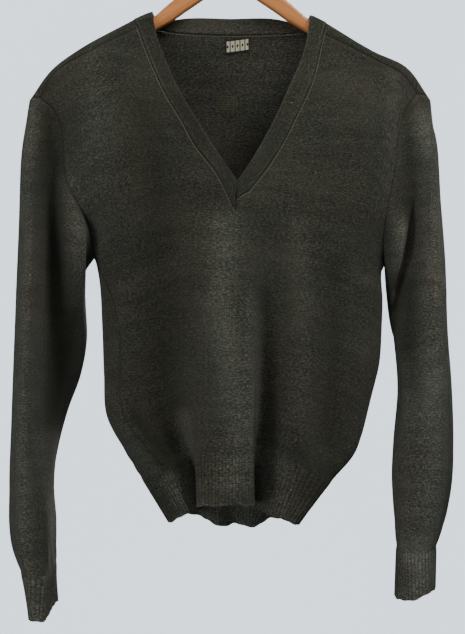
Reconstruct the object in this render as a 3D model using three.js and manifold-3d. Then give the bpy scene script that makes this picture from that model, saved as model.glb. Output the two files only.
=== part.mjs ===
// Fine-knit wool V-neck jumper with set-in sleeves, hanging on a slim wooden hanger.
// Millimetres, +Z up, the front of the jumper towards -Y. The origin is the inner crest of the
// wire hook, where a rail carries it.
// The cloth is laid out along fold lines: curves that run from the shoulder to the rib, placed
// where the knit ridges, dips, turns an edge or is sewn. Each row of a panel is a smooth curve
// across those lines, and each panel is a wall of real thickness under that surface.
import * as THREE from 'three';
import Module from 'manifold-3d';
import { mergeVertices } from 'three/addons/utils/BufferGeometryUtils.js';

// Cloth
const KNIT = 2;
const RIB = 2.2;
const NECK_RIB = 3;
const RIB_RISE = 0.9;
const SEAM_GAP = 0.3;
const NECK_CROWN = 0.6;

// Rows down the panels: over the shoulder, beside the armhole, down the side seam
const TOP_ROWS = 4;
const ARM_ROWS = 8;
const SIDE_ROWS = 10;
const FRONT_ROWS = ARM_ROWS + SIDE_ROWS;
const BACK_ROWS = TOP_ROWS + FRONT_ROWS;
const SLEEVE_ROWS = 14;

// Ribs round each half of the hem and round each cuff
const HEM_FRONT_RIBS = 84;
const HEM_BACK_RIBS = 76;
const CUFF_RIBS = 42;

// Hanger
const BAR_HALF_THICKNESS = 6;
const BAR_CORNER = 4.5;
const WIRE_RADIUS = 2;
const WIRE_GAP = 0.3;
const HOOK_RADIUS = 18;
const SHANK_FOOT = -90;

// Woven label
const LABEL_THICKNESS = 0.7;
const LABEL_GAP = 0.5;
const LABEL_DROP = 0.05;
const LABEL_TILT = 0.24;

// Seams that two pieces share
const SIDE_LEFT = [
  [-163, 0, -430], [-155, -13, -444], [-139, -26, -478], [-132, -32, -505],
  [-129, -35, -576], [-127, -34, -612], [-104, -32, -648], [-79, -31, -676],
];
const SIDE_RIGHT = [
  [185, 0, -439], [179, -9, -452], [181, -12, -475], [181, -9, -516], [179, -5, -555],
  [168, -4, -599], [158, -4, -641], [151, -4, -660], [122, -4, -696],
];
const SIDE_LEFT_HEM = [-49, -28, -733];
const SIDE_RIGHT_HEM = [81, -8, -748];
const V_TIP = [6, -46, -377];
const NECK_LEFT = [-110, -12.5, -155];
const NECK_RIGHT = [112, -12.5, -162];

// Fold lines of the front, from left to right. A line is a list of stretches, each with the
// rows that it spans and its points; hem is where the line ends at the lower edge of the rib.
const ARMHOLE_FRONT_LEFT = [
  [-227, -10, -238], [-208, -18, -256], [-199, -24, -282], [-197, -27, -312],
  [-193, -28, -341], [-176, -24, -374], [-167, -14, -398], [-163, 0, -430],
];
const ARMHOLE_FRONT_RIGHT = [
  [223, -10, -233], [209, -20, -254], [200, -25, -286], [197, -28, -316],
  [192, -28, -347], [184, -24, -389], [183, -12, -424], [185, 0, -439],
];
const CENTRE_FRONT = [V_TIP, [6, -52, -430], [4, -57, -500], [0, -61, -600], [-4, -62, -661]];
const CENTRE_FRONT_HEM = [-5, -63, -719];

const frontLeft = [
  line(SIDE_LEFT_HEM, [0, ARM_ROWS, ARMHOLE_FRONT_LEFT], [ARM_ROWS, FRONT_ROWS, SIDE_LEFT]),
  line([-30, 10, -728], [0, FRONT_ROWS, [
    [-185, -11, -187], [-165, -28, -240], [-140, -40, -320], [-118, -44, -400],
    [-102, -38, -480], [-90, -28, -560], [-78, -18, -620], [-48, -4, -668],
  ]]),
  line([-33, -60, -721], [0, FRONT_ROWS, [
    [-150, -12, -172], [-122, -32, -240], [-92, -44, -320], [-66, -48, -400],
    [-50, -47, -480], [-42, -45, -560], [-37, -46, -620], [-34, -52, -660],
  ]]),
  line(CENTRE_FRONT_HEM, [0, ARM_ROWS, [
    NECK_LEFT, [-94, -24, -198], [-74, -32, -241], [-57, -36, -269],
    [-42, -39, -297], [-17, -43, -330], V_TIP,
  ]], [ARM_ROWS, FRONT_ROWS, CENTRE_FRONT]),
];
const frontRight = [
  line(CENTRE_FRONT_HEM, [0, ARM_ROWS, [
    NECK_RIGHT, [94, -28, -231], [81, -32, -258], [66, -36, -289],
    [44, -40, -325], [22.5, -44, -353], V_TIP,
  ]], [ARM_ROWS, FRONT_ROWS, CENTRE_FRONT]),
  line([23, -60, -720], [0, FRONT_ROWS, [
    [128, -12, -169], [116, -32, -240], [92, -42, -310], [55, -49, -370],
    [28, -53, -430], [22, -58, -500], [22, -62, -580], [22, -61, -661],
  ]]),
  line([22, 8, -728], [0, FRONT_ROWS, [
    [150, -12, -180], [138, -30, -245], [112, -40, -320], [76, -44, -385],
    [48, -42, -450], [42, -36, -520], [36, -28, -600], [30, -12, -664],
  ]]),
  line([52, -26, -736], [0, FRONT_ROWS, [
    [175, -11, -194], [162, -30, -255], [138, -42, -330], [108, -48, -400],
    [90, -50, -470], [86, -52, -540], [82, -51, -610], [70, -40, -670],
  ]]),
  line([68, -20, -743], [0, FRONT_ROWS, [
    [200, -10, -210], [184, -26, -262], [168, -36, -330], [150, -38, -400],
    [138, -38, -470], [132, -37, -540], [122, -35, -610], [97, -30, -684],
  ]]),
  line(SIDE_RIGHT_HEM, [0, ARM_ROWS, ARMHOLE_FRONT_RIGHT], [ARM_ROWS, FRONT_ROWS, SIDE_RIGHT]),
];
const FRONT_LEFT_STEPS = [4, 4, 3];
const FRONT_RIGHT_STEPS = [2, 3, 3, 3, 3];

// Fold lines of the back, from left to right as seen from the front. The outer ones start at
// the shoulder seam on the front of the hanger bar and turn over it; the neck ones start at
// the seam of the back neckband.
const ARM_END = TOP_ROWS + ARM_ROWS;
const back = [
  line(SIDE_LEFT_HEM, [0, TOP_ROWS, [
    [-227, -10, -238], [-237, -6, -238], [-241, 1, -241], [-238, 9, -247], [-230, 15, -258],
  ]], [TOP_ROWS, ARM_END, [
    [-230, 15, -258], [-210, 21, -290], [-201, 23, -325], [-190, 21, -365],
    [-173, 12, -402], [-163, 0, -430],
  ]], [ARM_END, BACK_ROWS, SIDE_LEFT]),
  line([-73, -5, -746], [0, TOP_ROWS, [
    [-213, -11, -213], [-213, -8.5, -207], [-214, 0, -203.5], [-214, 8.5, -207], [-213, 11.5, -218],
  ]], [TOP_ROWS, BACK_ROWS, [
    [-213, 11.5, -218], [-204, 22, -270], [-190, 26, -330], [-172, 20, -395], [-158, 4, -450],
    [-153, -4, -516], [-151, -6, -568], [-147, -7, -620], [-128, -7, -656], [-106, -6, -692],
  ]]),
  line([-62, 28, -742], [0, TOP_ROWS, [
    [-165, -11, -181], [-166, -8.5, -174.5], [-167, 0, -171], [-167, 8.5, -174.5], [-166, 11, -183],
  ]], [TOP_ROWS, BACK_ROWS, [
    [-166, 11, -183], [-150, 24, -250], [-135, 32, -340], [-128, 34, -430],
    [-128, 32, -520], [-124, 30, -600], [-104, 30, -660], [-84, 30, -688],
  ]]),
  line([-35, 46, -744], [0, TOP_ROWS, [
    NECK_LEFT, [-114, -9.5, -147], [-116, 0, -143.5], [-113, 9.5, -147], [-107, 12.5, -154],
  ]], [TOP_ROWS, BACK_ROWS, [
    [-107, 12.5, -154], [-100, 24, -230], [-90, 34, -320], [-80, 38, -430],
    [-74, 40, -520], [-66, 42, -600], [-48, 44, -692],
  ]]),
  line([-12, 36, -756], [TOP_ROWS, BACK_ROWS, [
    [-60, 13.5, -158], [-52, 26, -230], [-45, 36, -330], [-38, 41, -430],
    [-32, 42, -520], [-25, 42, -600], [-18, 42, -696],
  ]]),
  line([4, 44, -753], [TOP_ROWS, BACK_ROWS, [
    [0, 14.5, -160], [0, 28, -230], [0, 38, -330], [0, 43, -430],
    [2, 45, -520], [4, 46, -600], [4, 46, -696],
  ]]),
  line([24, 38, -757], [TOP_ROWS, BACK_ROWS, [
    [60, 13.5, -159], [52, 26, -230], [46, 36, -330], [42, 41, -430],
    [38, 43, -520], [34, 44, -600], [28, 44, -696],
  ]]),
  line([48, 46, -748], [0, TOP_ROWS, [
    NECK_RIGHT, [115, -9.5, -151], [116, 0, -147.5], [113, 9.5, -151], [108, 12.5, -159],
  ]], [TOP_ROWS, BACK_ROWS, [
    [108, 12.5, -159], [102, 24, -235], [98, 33, -325], [94, 37, -430],
    [90, 39, -520], [84, 42, -600], [60, 44, -694],
  ]]),
  line([70, 26, -746], [0, TOP_ROWS, [
    [172, -11, -192], [172, -8.5, -184.5], [172, 0, -181], [172, 8.5, -184.5], [171, 11, -193],
  ]], [TOP_ROWS, BACK_ROWS, [
    [171, 11, -193], [162, 24, -255], [155, 30, -340], [150, 32, -430],
    [148, 32, -520], [140, 32, -600], [98, 28, -694],
  ]]),
  line([80, 10, -747], [0, TOP_ROWS, [
    [209, -11, -213], [211, -8.5, -204.5], [212, 0, -200.5], [212, 8.5, -204.5], [211, 11.5, -214],
  ]], [TOP_ROWS, BACK_ROWS, [
    [211, 11.5, -214], [203, 21, -265], [194, 26, -330], [184, 22, -400],
    [180, 18, -480], [175, 18, -560], [158, 16, -630], [112, 12, -694],
  ]]),
  line(SIDE_RIGHT_HEM, [0, TOP_ROWS, [
    [223, -10, -233], [236, -6, -236], [241, 1, -241], [239, 9, -247], [232, 15, -258],
  ]], [TOP_ROWS, ARM_END, [
    [232, 15, -258], [214, 20, -290], [206, 22, -330], [198, 20, -375],
    [190, 11, -415], [185, 0, -439],
  ]], [ARM_END, BACK_ROWS, SIDE_RIGHT]),
];
const BACK_STEPS = [3, 4, 4, 2, 2, 2, 2, 5, 5, 4];
const NECK_LINES = [3, 7];

// Fold lines of the sleeves, round the arm from the column that each one follows at the
// armhole. Each starts at the armhole seam; cuff is its end at the lower edge of the rib.
const SLEEVE_COLUMNS = [18, 1, 3, 6, 8, 11, 15];
const leftSleeve = [
  { cuff: [-236, -10, -856], points: [
    [-248, 0, -306], [-254, 0, -409], [-258, -2, -516], [-262, -4, -632],
    [-264, -6, -702], [-260, -8, -775], [-250, -8, -802],
  ] },
  { cuff: [-232, -44, -858], points: [
    [-230, -36, -306], [-234, -46, -409], [-238, -52, -516], [-240, -56, -632],
    [-241, -56, -702], [-239, -52, -775], [-233, -48, -806],
  ] },
  { cuff: [-222, -47, -858], points: [
    [-211, -22, -352], [-214, -11, -425], [-218, -8, -516], [-220, -18, -600],
    [-218, -28, -700], [-215, -32, -765], [-220, -34, -806],
  ] },
  { cuff: [-215, -30, -853], points: [
    [-173, -31, -425], [-178, -26, -458], [-186, -12, -505], [-195, 1, -565],
    [-206, 4, -632], [-211, -4, -700], [-211, -10, -760], [-213, -14, -803],
  ] },
  { cuff: [-213, -5, -847], points: [
    [-174, 4, -446], [-174, 10, -481], [-173, 14, -530], [-181, 16, -571],
    [-196, 15, -612], [-208, 12, -660], [-212, 10, -690], [-209, 6, -745], [-209, 4, -797],
  ] },
  { cuff: [-214, 35, -846], points: [
    [-184, 34, -430], [-190, 42, -516], [-206, 42, -600], [-222, 42, -680],
    [-225, 40, -740], [-220, 34, -797],
  ] },
  { cuff: [-228, 36, -848], points: [
    [-226, 36, -340], [-232, 42, -430], [-238, 42, -516], [-244, 42, -632],
    [-247, 40, -702], [-244, 36, -765], [-237, 34, -798],
  ] },
];
const rightSleeve = [
  { cuff: [246, 0, -822], points: [
    [246, 0, -295], [252, 0, -358], [258, 0, -430], [261, 0, -516], [266, 0, -586],
    [268, 0, -650], [266, 0, -700], [258, 0, -742], [247, 0, -774],
  ] },
  { cuff: [234, -30, -828], points: [
    [236, -32, -295], [241, -44, -380], [243, -48, -450], [244, -48, -516], [248, -44, -586],
    [248, -40, -650], [246, -38, -700], [238, -36, -745], [233, -33, -778],
  ] },
  { cuff: [214, -32, -835], points: [
    [217, -22, -350], [214, -15, -400], [206, -10, -460], [203, -12, -516], [209, -28, -586],
    [212, -36, -650], [211, -36, -700], [209, -34, -742], [212, -33, -780],
  ] },
  { cuff: [202, -16, -837], points: [
    [202, -31, -418], [199, -20, -452], [193, -7, -490], [197, 0, -530], [203, -10, -586],
    [199, -18, -650], [197, -18, -700], [199, -17, -742], [202, -17, -779],
  ] },
  { cuff: [198, 0, -834], points: [
    [188, 6, -472], [195, 14, -516], [204, 14, -545], [202, 6, -586],
    [196, 2, -650], [194, 0, -690], [197, 0, -740], [200, 0, -776],
  ] },
  { cuff: [212, 30, -829], points: [
    [205, 32, -430], [212, 40, -516], [214, 40, -586], [212, 36, -650],
    [212, 34, -700], [212, 32, -776],
  ] },
  { cuff: [234, 30, -825], points: [
    [236, 34, -345], [242, 42, -430], [246, 42, -516], [248, 40, -586],
    [248, 36, -650], [246, 34, -700], [240, 33, -742], [234, 31, -776],
  ] },
];

// Inner edge of the neckband: up the left of the V, over the bar, along the back neck
const BAND_EDGE_TIP = [9, -45, -340];
const BAND_EDGE_LEFT = [
  [-91, -12, -147], [-88, -14, -160], [-69, -24, -212], [-53, -31, -243],
  [-38, -35, -268], [-18, -40, -300], BAND_EDGE_TIP,
];
const BAND_EDGE_RIGHT = [
  [94, -12, -152], [92, -14, -166], [85, -22, -192], [70, -30, -227],
  [60, -34, -250], [45, -38, -281], [28, -42, -311], BAND_EDGE_TIP,
];
const BAND_OVER_LEFT = [
  [-91, -12, -147], [-92.5, -9.5, -137.5], [-93, 0, -133.5], [-91, 9.5, -137.5], [-86, 13, -145],
];
const BAND_OVER_RIGHT = [
  [94, -12, -152], [95.5, -9.5, -141.5], [96, 0, -137.5], [94, 9.5, -141], [89, 13, -149],
];
const BAND_BACK = [
  [-86, 13, -145], [-56, 14.5, -140], [0, 15, -140], [58, 14.5, -141], [89, 13, -149],
];

// Wooden bar, right half from the centre out: x, upper edge, lower edge
const BAR_EDGES = [
  [0, -66, -102], [16, -74, -108], [34, -91, -121], [52, -106, -133], [69, -120.5, -145],
  [94, -143, -160], [120, -157, -174], [151, -173.4, -190], [180, -189, -205],
  [200, -200.5, -216], [211, -209, -220], [215, -213, -219],
];

function vec(p) {
  return new THREE.Vector3(...p);
}

function line(hem, ...stretches) {
  return { hem: vec(hem), stretches: stretches.map(([from, to, points]) => (
    { from, to, points: points.map(vec) })) };
}

// The point a fraction f of the way from b to c on a smooth curve through a, b, c and d
function between(a, b, c, d, f) {
  const g = a.distanceTo(b);
  const h = b.distanceTo(c);
  const k = c.distanceTo(d);
  const slope = (p, q, r, s, t) => q.clone().sub(p).multiplyScalar(t / (s * (s + t)))
    .add(r.clone().sub(q).multiplyScalar(s / (t * (s + t))));
  const out = b.clone().multiplyScalar(1 - f * f * (3 - 2 * f));
  out.addScaledVector(c, f * f * (3 - 2 * f));
  out.addScaledVector(slope(a, b, c, g, h), h * f * (1 - f) * (1 - f));
  return out.addScaledVector(slope(b, c, d, h, k), -h * f * f * (1 - f));
}

function mirrored(p, q) {
  return p.clone().multiplyScalar(2).sub(q);
}

// A point in the stretch from points[i] to points[i + 1], with optional neighbours at the ends
function onCurve(points, i, f, before, after) {
  const n = points.length;
  const a = i > 0 ? points[i - 1] : before ?? mirrored(points[0], points[1]);
  const d = i < n - 2 ? points[i + 2] : after ?? mirrored(points[n - 1], points[n - 2]);
  return between(a, points[i], points[i + 1], d, f);
}

// A point at a fraction of a curve's length
function along(points, fraction) {
  const lengths = points.slice(1).map((p, i) => p.distanceTo(points[i]));
  let rest = fraction * lengths.reduce((a, b) => a + b, 0);
  let i = 0;
  while (i < lengths.length - 1 && rest > lengths[i]) {
    rest -= lengths[i];
    i += 1;
  }
  return onCurve(points, i, Math.min(rest / lengths[i], 1));
}

function lineAt(fold, row) {
  const { stretches } = fold;
  const stretch = stretches.find((s) => row <= s.to) ?? stretches[stretches.length - 1];
  return along(stretch.points, Math.max(0, row - stretch.from) / (stretch.to - stretch.from));
}

// Points across a row of fold-line points, with the given number of steps between each two
function across(points, steps, before, after) {
  const row = [];
  steps.forEach((count, i) => {
    for (let k = 0; k < count; k += 1) row.push(onCurve(points, i, k / count, before, after));
  });
  row.push(points[points.length - 1].clone());
  return row;
}

function sum(list) {
  return list.reduce((a, b) => a + b, 0);
}

// A sheet is a list of points with its outward triangles
function sheet() {
  return { points: [], faces: [] };
}

function quad(target, a, b, c, d, flip) {
  if (flip) target.faces.push([a, c, b], [a, d, c]);
  else target.faces.push([a, b, c], [a, c, d]);
}

// Front: two halves that share the centre line below the tip of the V
function frontRow(row) {
  if (row === 0) {
    const seam = shoulderRow(0);
    return [seam.slice(0, NECK_FROM + 1), seam.slice(NECK_TO)];
  }
  const leftPoints = frontLeft.map((fold) => lineAt(fold, row));
  const rightPoints = frontRight.map((fold) => lineAt(fold, row));
  if (row < ARM_ROWS) {
    return [across(leftPoints, FRONT_LEFT_STEPS), across(rightPoints, FRONT_RIGHT_STEPS)];
  }
  const whole = [...leftPoints, ...rightPoints.slice(1)];
  const backAt = row + TOP_ROWS;
  const full = across(whole, [...FRONT_LEFT_STEPS, ...FRONT_RIGHT_STEPS],
    lineAt(back[1], backAt), lineAt(back[back.length - 2], backAt));
  const half = sum(FRONT_LEFT_STEPS);
  return [full.slice(0, half + 1), full.slice(half)];
}

function frontSheet() {
  const out = sheet();
  const ids = [];
  for (let row = 0; row <= FRONT_ROWS; row += 1) {
    const [l, r] = frontRow(row);
    const leftIds = l.map((p) => out.points.push(p) - 1);
    const rightIds = r.map((p, i) => (
      i === 0 && row >= ARM_ROWS ? leftIds[leftIds.length - 1] : out.points.push(p) - 1));
    ids.push([leftIds, rightIds]);
  }
  for (let row = 0; row < FRONT_ROWS; row += 1) {
    for (let side = 0; side < 2; side += 1) {
      const top = ids[row][side];
      const low = ids[row + 1][side];
      for (let i = 0; i < top.length - 1; i += 1) quad(out, top[i], low[i], low[i + 1], top[i + 1]);
    }
  }
  out.seam = ids.map(([l, r]) => ({ left: out.points[l[0]], right: out.points[r[r.length - 1]],
    neckLeft: out.points[l[l.length - 1]], neckRight: out.points[r[0]] }));
  const last = ids[FRONT_ROWS];
  out.lastRow = [...last[0], ...last[1].slice(1)].map((id) => out.points[id]);
  return out;
}

// Back: the shoulder rows leave the neck open
const NECK_FROM = sum(BACK_STEPS.slice(0, NECK_LINES[0]));
const NECK_TO = sum(BACK_STEPS.slice(0, NECK_LINES[1]));

function backRow(row) {
  const folds = back.map((fold) => lineAt(fold, row));
  if (row <= ARM_END) return across(folds, BACK_STEPS);
  const frontNear = lineAt(frontLeft[1], row - TOP_ROWS);
  const frontFar = lineAt(frontRight[frontRight.length - 2], row - TOP_ROWS);
  return across(folds, BACK_STEPS, frontNear, frontFar);
}

function shoulderRow(row) {
  const folds = back.map((fold) => lineAt(fold, row));
  const [from, to] = NECK_LINES;
  const leftPart = across(folds.slice(0, from + 1), BACK_STEPS.slice(0, from));
  const rightPart = across(folds.slice(to), BACK_STEPS.slice(to));
  return [...leftPart, ...Array(NECK_TO - NECK_FROM - 1).fill(null), ...rightPart];
}

function backSheet() {
  const out = sheet();
  const grid = [];
  for (let row = 0; row <= BACK_ROWS; row += 1) {
    grid.push(row < TOP_ROWS ? shoulderRow(row) : backRow(row));
  }
  const ids = grid.map((row) => row.map((p) => (p ? out.points.push(p) - 1 : null)));
  for (let row = 0; row < BACK_ROWS; row += 1) {
    for (let i = 0; i < ids[row].length - 1; i += 1) {
      if (row >= TOP_ROWS || i < NECK_FROM || i >= NECK_TO) {
        quad(out, ids[row][i], ids[row + 1][i], ids[row + 1][i + 1], ids[row][i + 1], true);
      }
    }
  }
  out.grid = grid;
  out.lastRow = grid[BACK_ROWS];
  return out;
}

// The loop of armhole points: down the front, then up the back and over the shoulder
function armhole(front, backGrid, side) {
  const edge = side === 'left' ? 0 : backGrid[0].length - 1;
  const loop = front.seam.slice(0, ARM_ROWS + 1).map((row) => row[side]);
  for (let row = ARM_END - 1; row > 0; row -= 1) loop.push(backGrid[row][edge]);
  return loop;
}

// One ring round a closed list of fold points, started at column 0
function ring(folds) {
  const count = TOP_ROWS + 2 * ARM_ROWS;
  const out = Array(count);
  folds.forEach((p, i) => {
    const at = (k) => folds[(i + k + folds.length) % folds.length];
    const from = SLEEVE_COLUMNS[i];
    const span = (SLEEVE_COLUMNS[(i + 1) % folds.length] - from + count) % count;
    for (let k = 0; k < span; k += 1) {
      out[(from + k) % count] = between(at(-1), p, at(1), at(2), k / span);
    }
  });
  return out;
}

function sleeveSheet(loop, folds, flip) {
  const out = sheet();
  const fadeRows = 5;
  const lines = folds.map((fold, i) => [loop[SLEEVE_COLUMNS[i]], ...fold.points.map(vec)]);
  const start = ring(lines.map((points) => points[0]));
  const rings = [loop];
  for (let row = 1; row <= SLEEVE_ROWS; row += 1) {
    const fade = Math.max(0, 1 - row / fadeRows);
    const keep = fade * fade * (3 - 2 * fade);
    rings.push(ring(lines.map((points) => along(points, row / SLEEVE_ROWS))).map((p, c) => (
      p.addScaledVector(loop[c].clone().sub(start[c]), keep))));
  }
  rings.forEach((row) => row.forEach((p) => out.points.push(p)));
  const n = loop.length;
  for (let row = 0; row < SLEEVE_ROWS; row += 1) {
    for (let i = 0; i < n; i += 1) {
      const next = (i + 1) % n;
      quad(out, row * n + i, (row + 1) * n + i, (row + 1) * n + next, row * n + next, flip);
    }
  }
  out.lastRow = rings[SLEEVE_ROWS];
  return out;
}

// Rib below a sheet: from the sheet's last row to its own lower edge
function ribSheet(top, low, closed, flip) {
  const out = sheet();
  out.points.push(...top, ...low);
  const n = top.length;
  const spans = closed ? n : n - 1;
  for (let i = 0; i < spans; i += 1) {
    const next = (i + 1) % n;
    quad(out, i, n + i, n + next, next, flip);
  }
  return { ...out, closed, flip, columns: n };
}

// Neckband: outer edge on the seams, inner edge on its own curve, a low crown between
function neckSheet(front, backGrid) {
  const out = sheet();
  const outer = [];
  const inner = [];
  const edge = (points, fraction) => along(points.map(vec), fraction);
  const add = (a, b) => {
    outer.push(a);
    inner.push(b);
  };
  for (let row = ARM_ROWS; row >= 0; row -= 1) {
    add(front.seam[row].neckLeft, edge(BAND_EDGE_LEFT, row / ARM_ROWS));
  }
  for (let row = 1; row <= TOP_ROWS; row += 1) {
    add(backGrid[row][NECK_FROM], edge(BAND_OVER_LEFT, row / TOP_ROWS));
  }
  for (let i = NECK_FROM + 1; i < NECK_TO; i += 1) {
    add(backGrid[TOP_ROWS][i], edge(BAND_BACK, (i - NECK_FROM) / (NECK_TO - NECK_FROM)));
  }
  for (let row = TOP_ROWS; row >= 1; row -= 1) {
    add(backGrid[row][NECK_TO], edge(BAND_OVER_RIGHT, row / TOP_ROWS));
  }
  for (let row = 0; row <= ARM_ROWS; row += 1) {
    add(front.seam[row].neckRight, edge(BAND_EDGE_RIGHT, row / ARM_ROWS));
  }
  outer.forEach((p, k) => out.points.push(p, p.clone().lerp(inner[k], 0.5), inner[k]));
  for (let k = 0; k < outer.length - 1; k += 1) {
    for (let a = 0; a < 2; a += 1) {
      quad(out, 3 * k + a, 3 * k + a + 1, 3 * k + a + 4, 3 * k + a + 3);
    }
  }
  return out;
}

// Woven label on the inside of the back, from the back's own points moved out
function labelSheet() {
  const out = sheet();
  const centre = 5;
  const rows = [TOP_ROWS + 0.13, TOP_ROWS + 0.4, TOP_ROWS + 0.68];
  const places = [[-1, 0.9], [0, 0.07], [0, 0.24], [0, 0.4]];
  const point = (row, [step, f]) => onCurve(back.map((fold) => lineAt(fold, row)), centre + step, f);
  rows.forEach((line) => places.forEach((place) => {
    const row = line + LABEL_DROP - LABEL_TILT * (place[0] + place[1] + 0.1);
    const p = point(row, place);
    const down = point(row + 0.1, place).sub(p);
    const right = point(row, [place[0], place[1] + 0.02]).sub(p);
    const outward = right.cross(down).normalize();
    if (outward.y < 0) outward.negate();
    out.points.push(p.addScaledVector(outward, -(KNIT + LABEL_GAP)));
  }));
  for (let r = 0; r < rows.length - 1; r += 1) {
    for (let i = 0; i < places.length - 1; i += 1) {
      const a = r * places.length + i;
      const b = a + places.length;
      quad(out, a, b, b + 1, a + 1, true);
    }
  }
  return out;
}

// Outward normals, shared where pieces meet at a seam so that both walls end on one plane
function keyOf(p) {
  return p.toArray().map((v) => Math.round(v * 100) || 0).join(',');
}

function sheetNormals({ points, faces }) {
  const own = new Map();
  faces.forEach(([a, b, c]) => {
    const n = points[b].clone().sub(points[a]).cross(points[c].clone().sub(points[a]));
    [a, b, c].forEach((id) => {
      const key = keyOf(points[id]);
      if (!own.has(key)) own.set(key, new THREE.Vector3());
      own.get(key).add(n);
    });
  });
  own.forEach((n) => n.normalize());
  return own;
}

function seamNormals(sheets, fixed = []) {
  const total = new Map();
  sheets.map(sheetNormals).forEach((own) => own.forEach((n, key) => {
    if (!total.has(key)) total.set(key, new THREE.Vector3());
    total.get(key).add(n);
  }));
  total.forEach((n) => n.normalize());
  fixed.forEach(([point, facing]) => total.set(keyOf(vec(point)), vec(facing).normalize()));
  return (p) => total.get(keyOf(p)).clone();
}

// Edges that only one face has, as a list of start, end and the face's third point
function openEdges(faces) {
  const seen = new Map();
  faces.forEach(([a, b, c]) => [[a, b, c], [b, c, a], [c, a, b]].forEach(([p, q, r]) => {
    seen.set(`${p},${q}`, [p, q, r]);
  }));
  return [...seen.values()].filter(([p, q]) => !seen.has(`${q},${p}`));
}

// Each open edge moved in by half a seam gap
function drawnIn(points, faces) {
  const pulls = new Map();
  openEdges(faces).forEach(([a, b, c]) => {
    const edge = points[b].clone().sub(points[a]).normalize();
    const inward = points[c].clone().sub(points[a]);
    inward.addScaledVector(edge, -inward.dot(edge)).normalize();
    [a, b].forEach((id) => pulls.set(id, [...(pulls.get(id) ?? []), inward]));
  });
  return points.map((p, id) => {
    const [first, second] = pulls.get(id) ?? [];
    if (!first) return p.clone();
    const pull = first.clone().add(second).multiplyScalar(1 / (1 + Math.max(-0.5, first.dot(second))));
    return p.clone().addScaledVector(pull, SEAM_GAP / 2);
  });
}

// A closed wall: the surface, its copy one thickness inside, and a strip along each open edge,
// whose squares are split the same way on both sides of a seam
function wall({ points, faces, normals, relief }, thickness) {
  const placed = drawnIn(points, faces);
  const n = points.length;
  const rise = relief ?? points.map(() => 0);
  const all = [
    ...placed.map((p, i) => p.clone().addScaledVector(normals[i], rise[i])),
    ...placed.map((p, i) => p.clone().addScaledVector(normals[i], -thickness)),
  ];
  const index = faces.flat();
  faces.forEach(([a, b, c]) => index.push(n + a, n + c, n + b));
  openEdges(faces).forEach(([a, b]) => {
    const sameSplit = keyOf(points[a]) < keyOf(points[b]);
    if (sameSplit) index.push(a, n + a, n + b, a, n + b, b);
    else index.push(b, a, n + a, b, n + a, n + b);
  });
  return geometryOf(all, index);
}

function geometryOf(points, index) {
  const geometry = new THREE.BufferGeometry();
  geometry.setAttribute('position', new THREE.Float32BufferAttribute(points.flatMap((p) => p.toArray()), 3));
  geometry.setIndex(index);
  return geometry;
}

// Places at even steps along a list of points, as an index and a fraction
function evenPlaces(points, count) {
  const ends = [0];
  points.slice(1).forEach((p, i) => ends.push(ends[i] + p.distanceTo(points[i])));
  const whole = ends[ends.length - 1];
  return [...Array(count + 1).keys()].map((k) => {
    const at = (whole * k) / count;
    const i = Math.min(Math.max(ends.findIndex((end) => end >= at) - 1, 0), points.length - 2);
    return [i, Math.min((at - ends[i]) / (ends[i + 1] - ends[i]), 1)];
  });
}

// A rib's fine columns, evenly spaced along its lower edge, with every other one raised
function ribbed(coarse, normalAt, ribs) {
  const { points, closed, flip, columns } = coarse;
  const level = (k) => points.slice(k * columns, (k + 1) * columns);
  const looped = (list) => (closed ? [...list, list[0]] : list);
  const places = evenPlaces(looped(level(1)), 2 * ribs);
  if (closed) places.pop();
  const count = places.length;
  const fine = { ...sheet(), normals: [], relief: [] };
  [looped(level(0)), looped(level(1))].forEach((edge) => places.forEach(([i, f], k) => {
    fine.points.push(edge[i].clone().lerp(edge[i + 1], f));
    fine.normals.push(normalAt(edge[i]).lerp(normalAt(edge[i + 1]), f).normalize());
    fine.relief.push(k % 2 === 1 ? RIB_RISE : 0);
  }));
  const spans = closed ? count : count - 1;
  for (let k = 0; k < spans; k += 1) {
    const next = (k + 1) % count;
    quad(fine, k, count + k, count + next, next, flip);
  }
  return fine;
}

// A closed solid through rings of points, with a fan at each end
function loft(rings) {
  const n = rings[0].length;
  const points = rings.flat();
  const index = [];
  for (let r = 0; r < rings.length - 1; r += 1) {
    for (let i = 0; i < n; i += 1) {
      const a = r * n + i;
      const b = r * n + ((i + 1) % n);
      index.push(a, b, b + n, a, b + n, a + n);
    }
  }
  const last = (rings.length - 1) * n;
  for (let i = 1; i < n - 1; i += 1) {
    index.push(0, i + 1, i);
    index.push(last, last + i, last + i + 1);
  }
  return geometryOf(points, index);
}

function barSection(x, top, low) {
  const half = BAR_HALF_THICKNESS;
  const r = Math.min(BAR_CORNER, (top - low) / 2 - 0.5);
  const corners = [[1, 1], [-1, 1], [-1, -1], [1, -1]];
  return corners.flatMap(([sy, sz], k) => [0, 1, 2].map((step) => {
    const turn = ((k + step / 2) * Math.PI) / 2;
    const y = sy * (half - r) + r * Math.cos(turn);
    const z = (sz > 0 ? top - r : low + r) + r * Math.sin(turn);
    return new THREE.Vector3(x, y, z);
  }));
}

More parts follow.
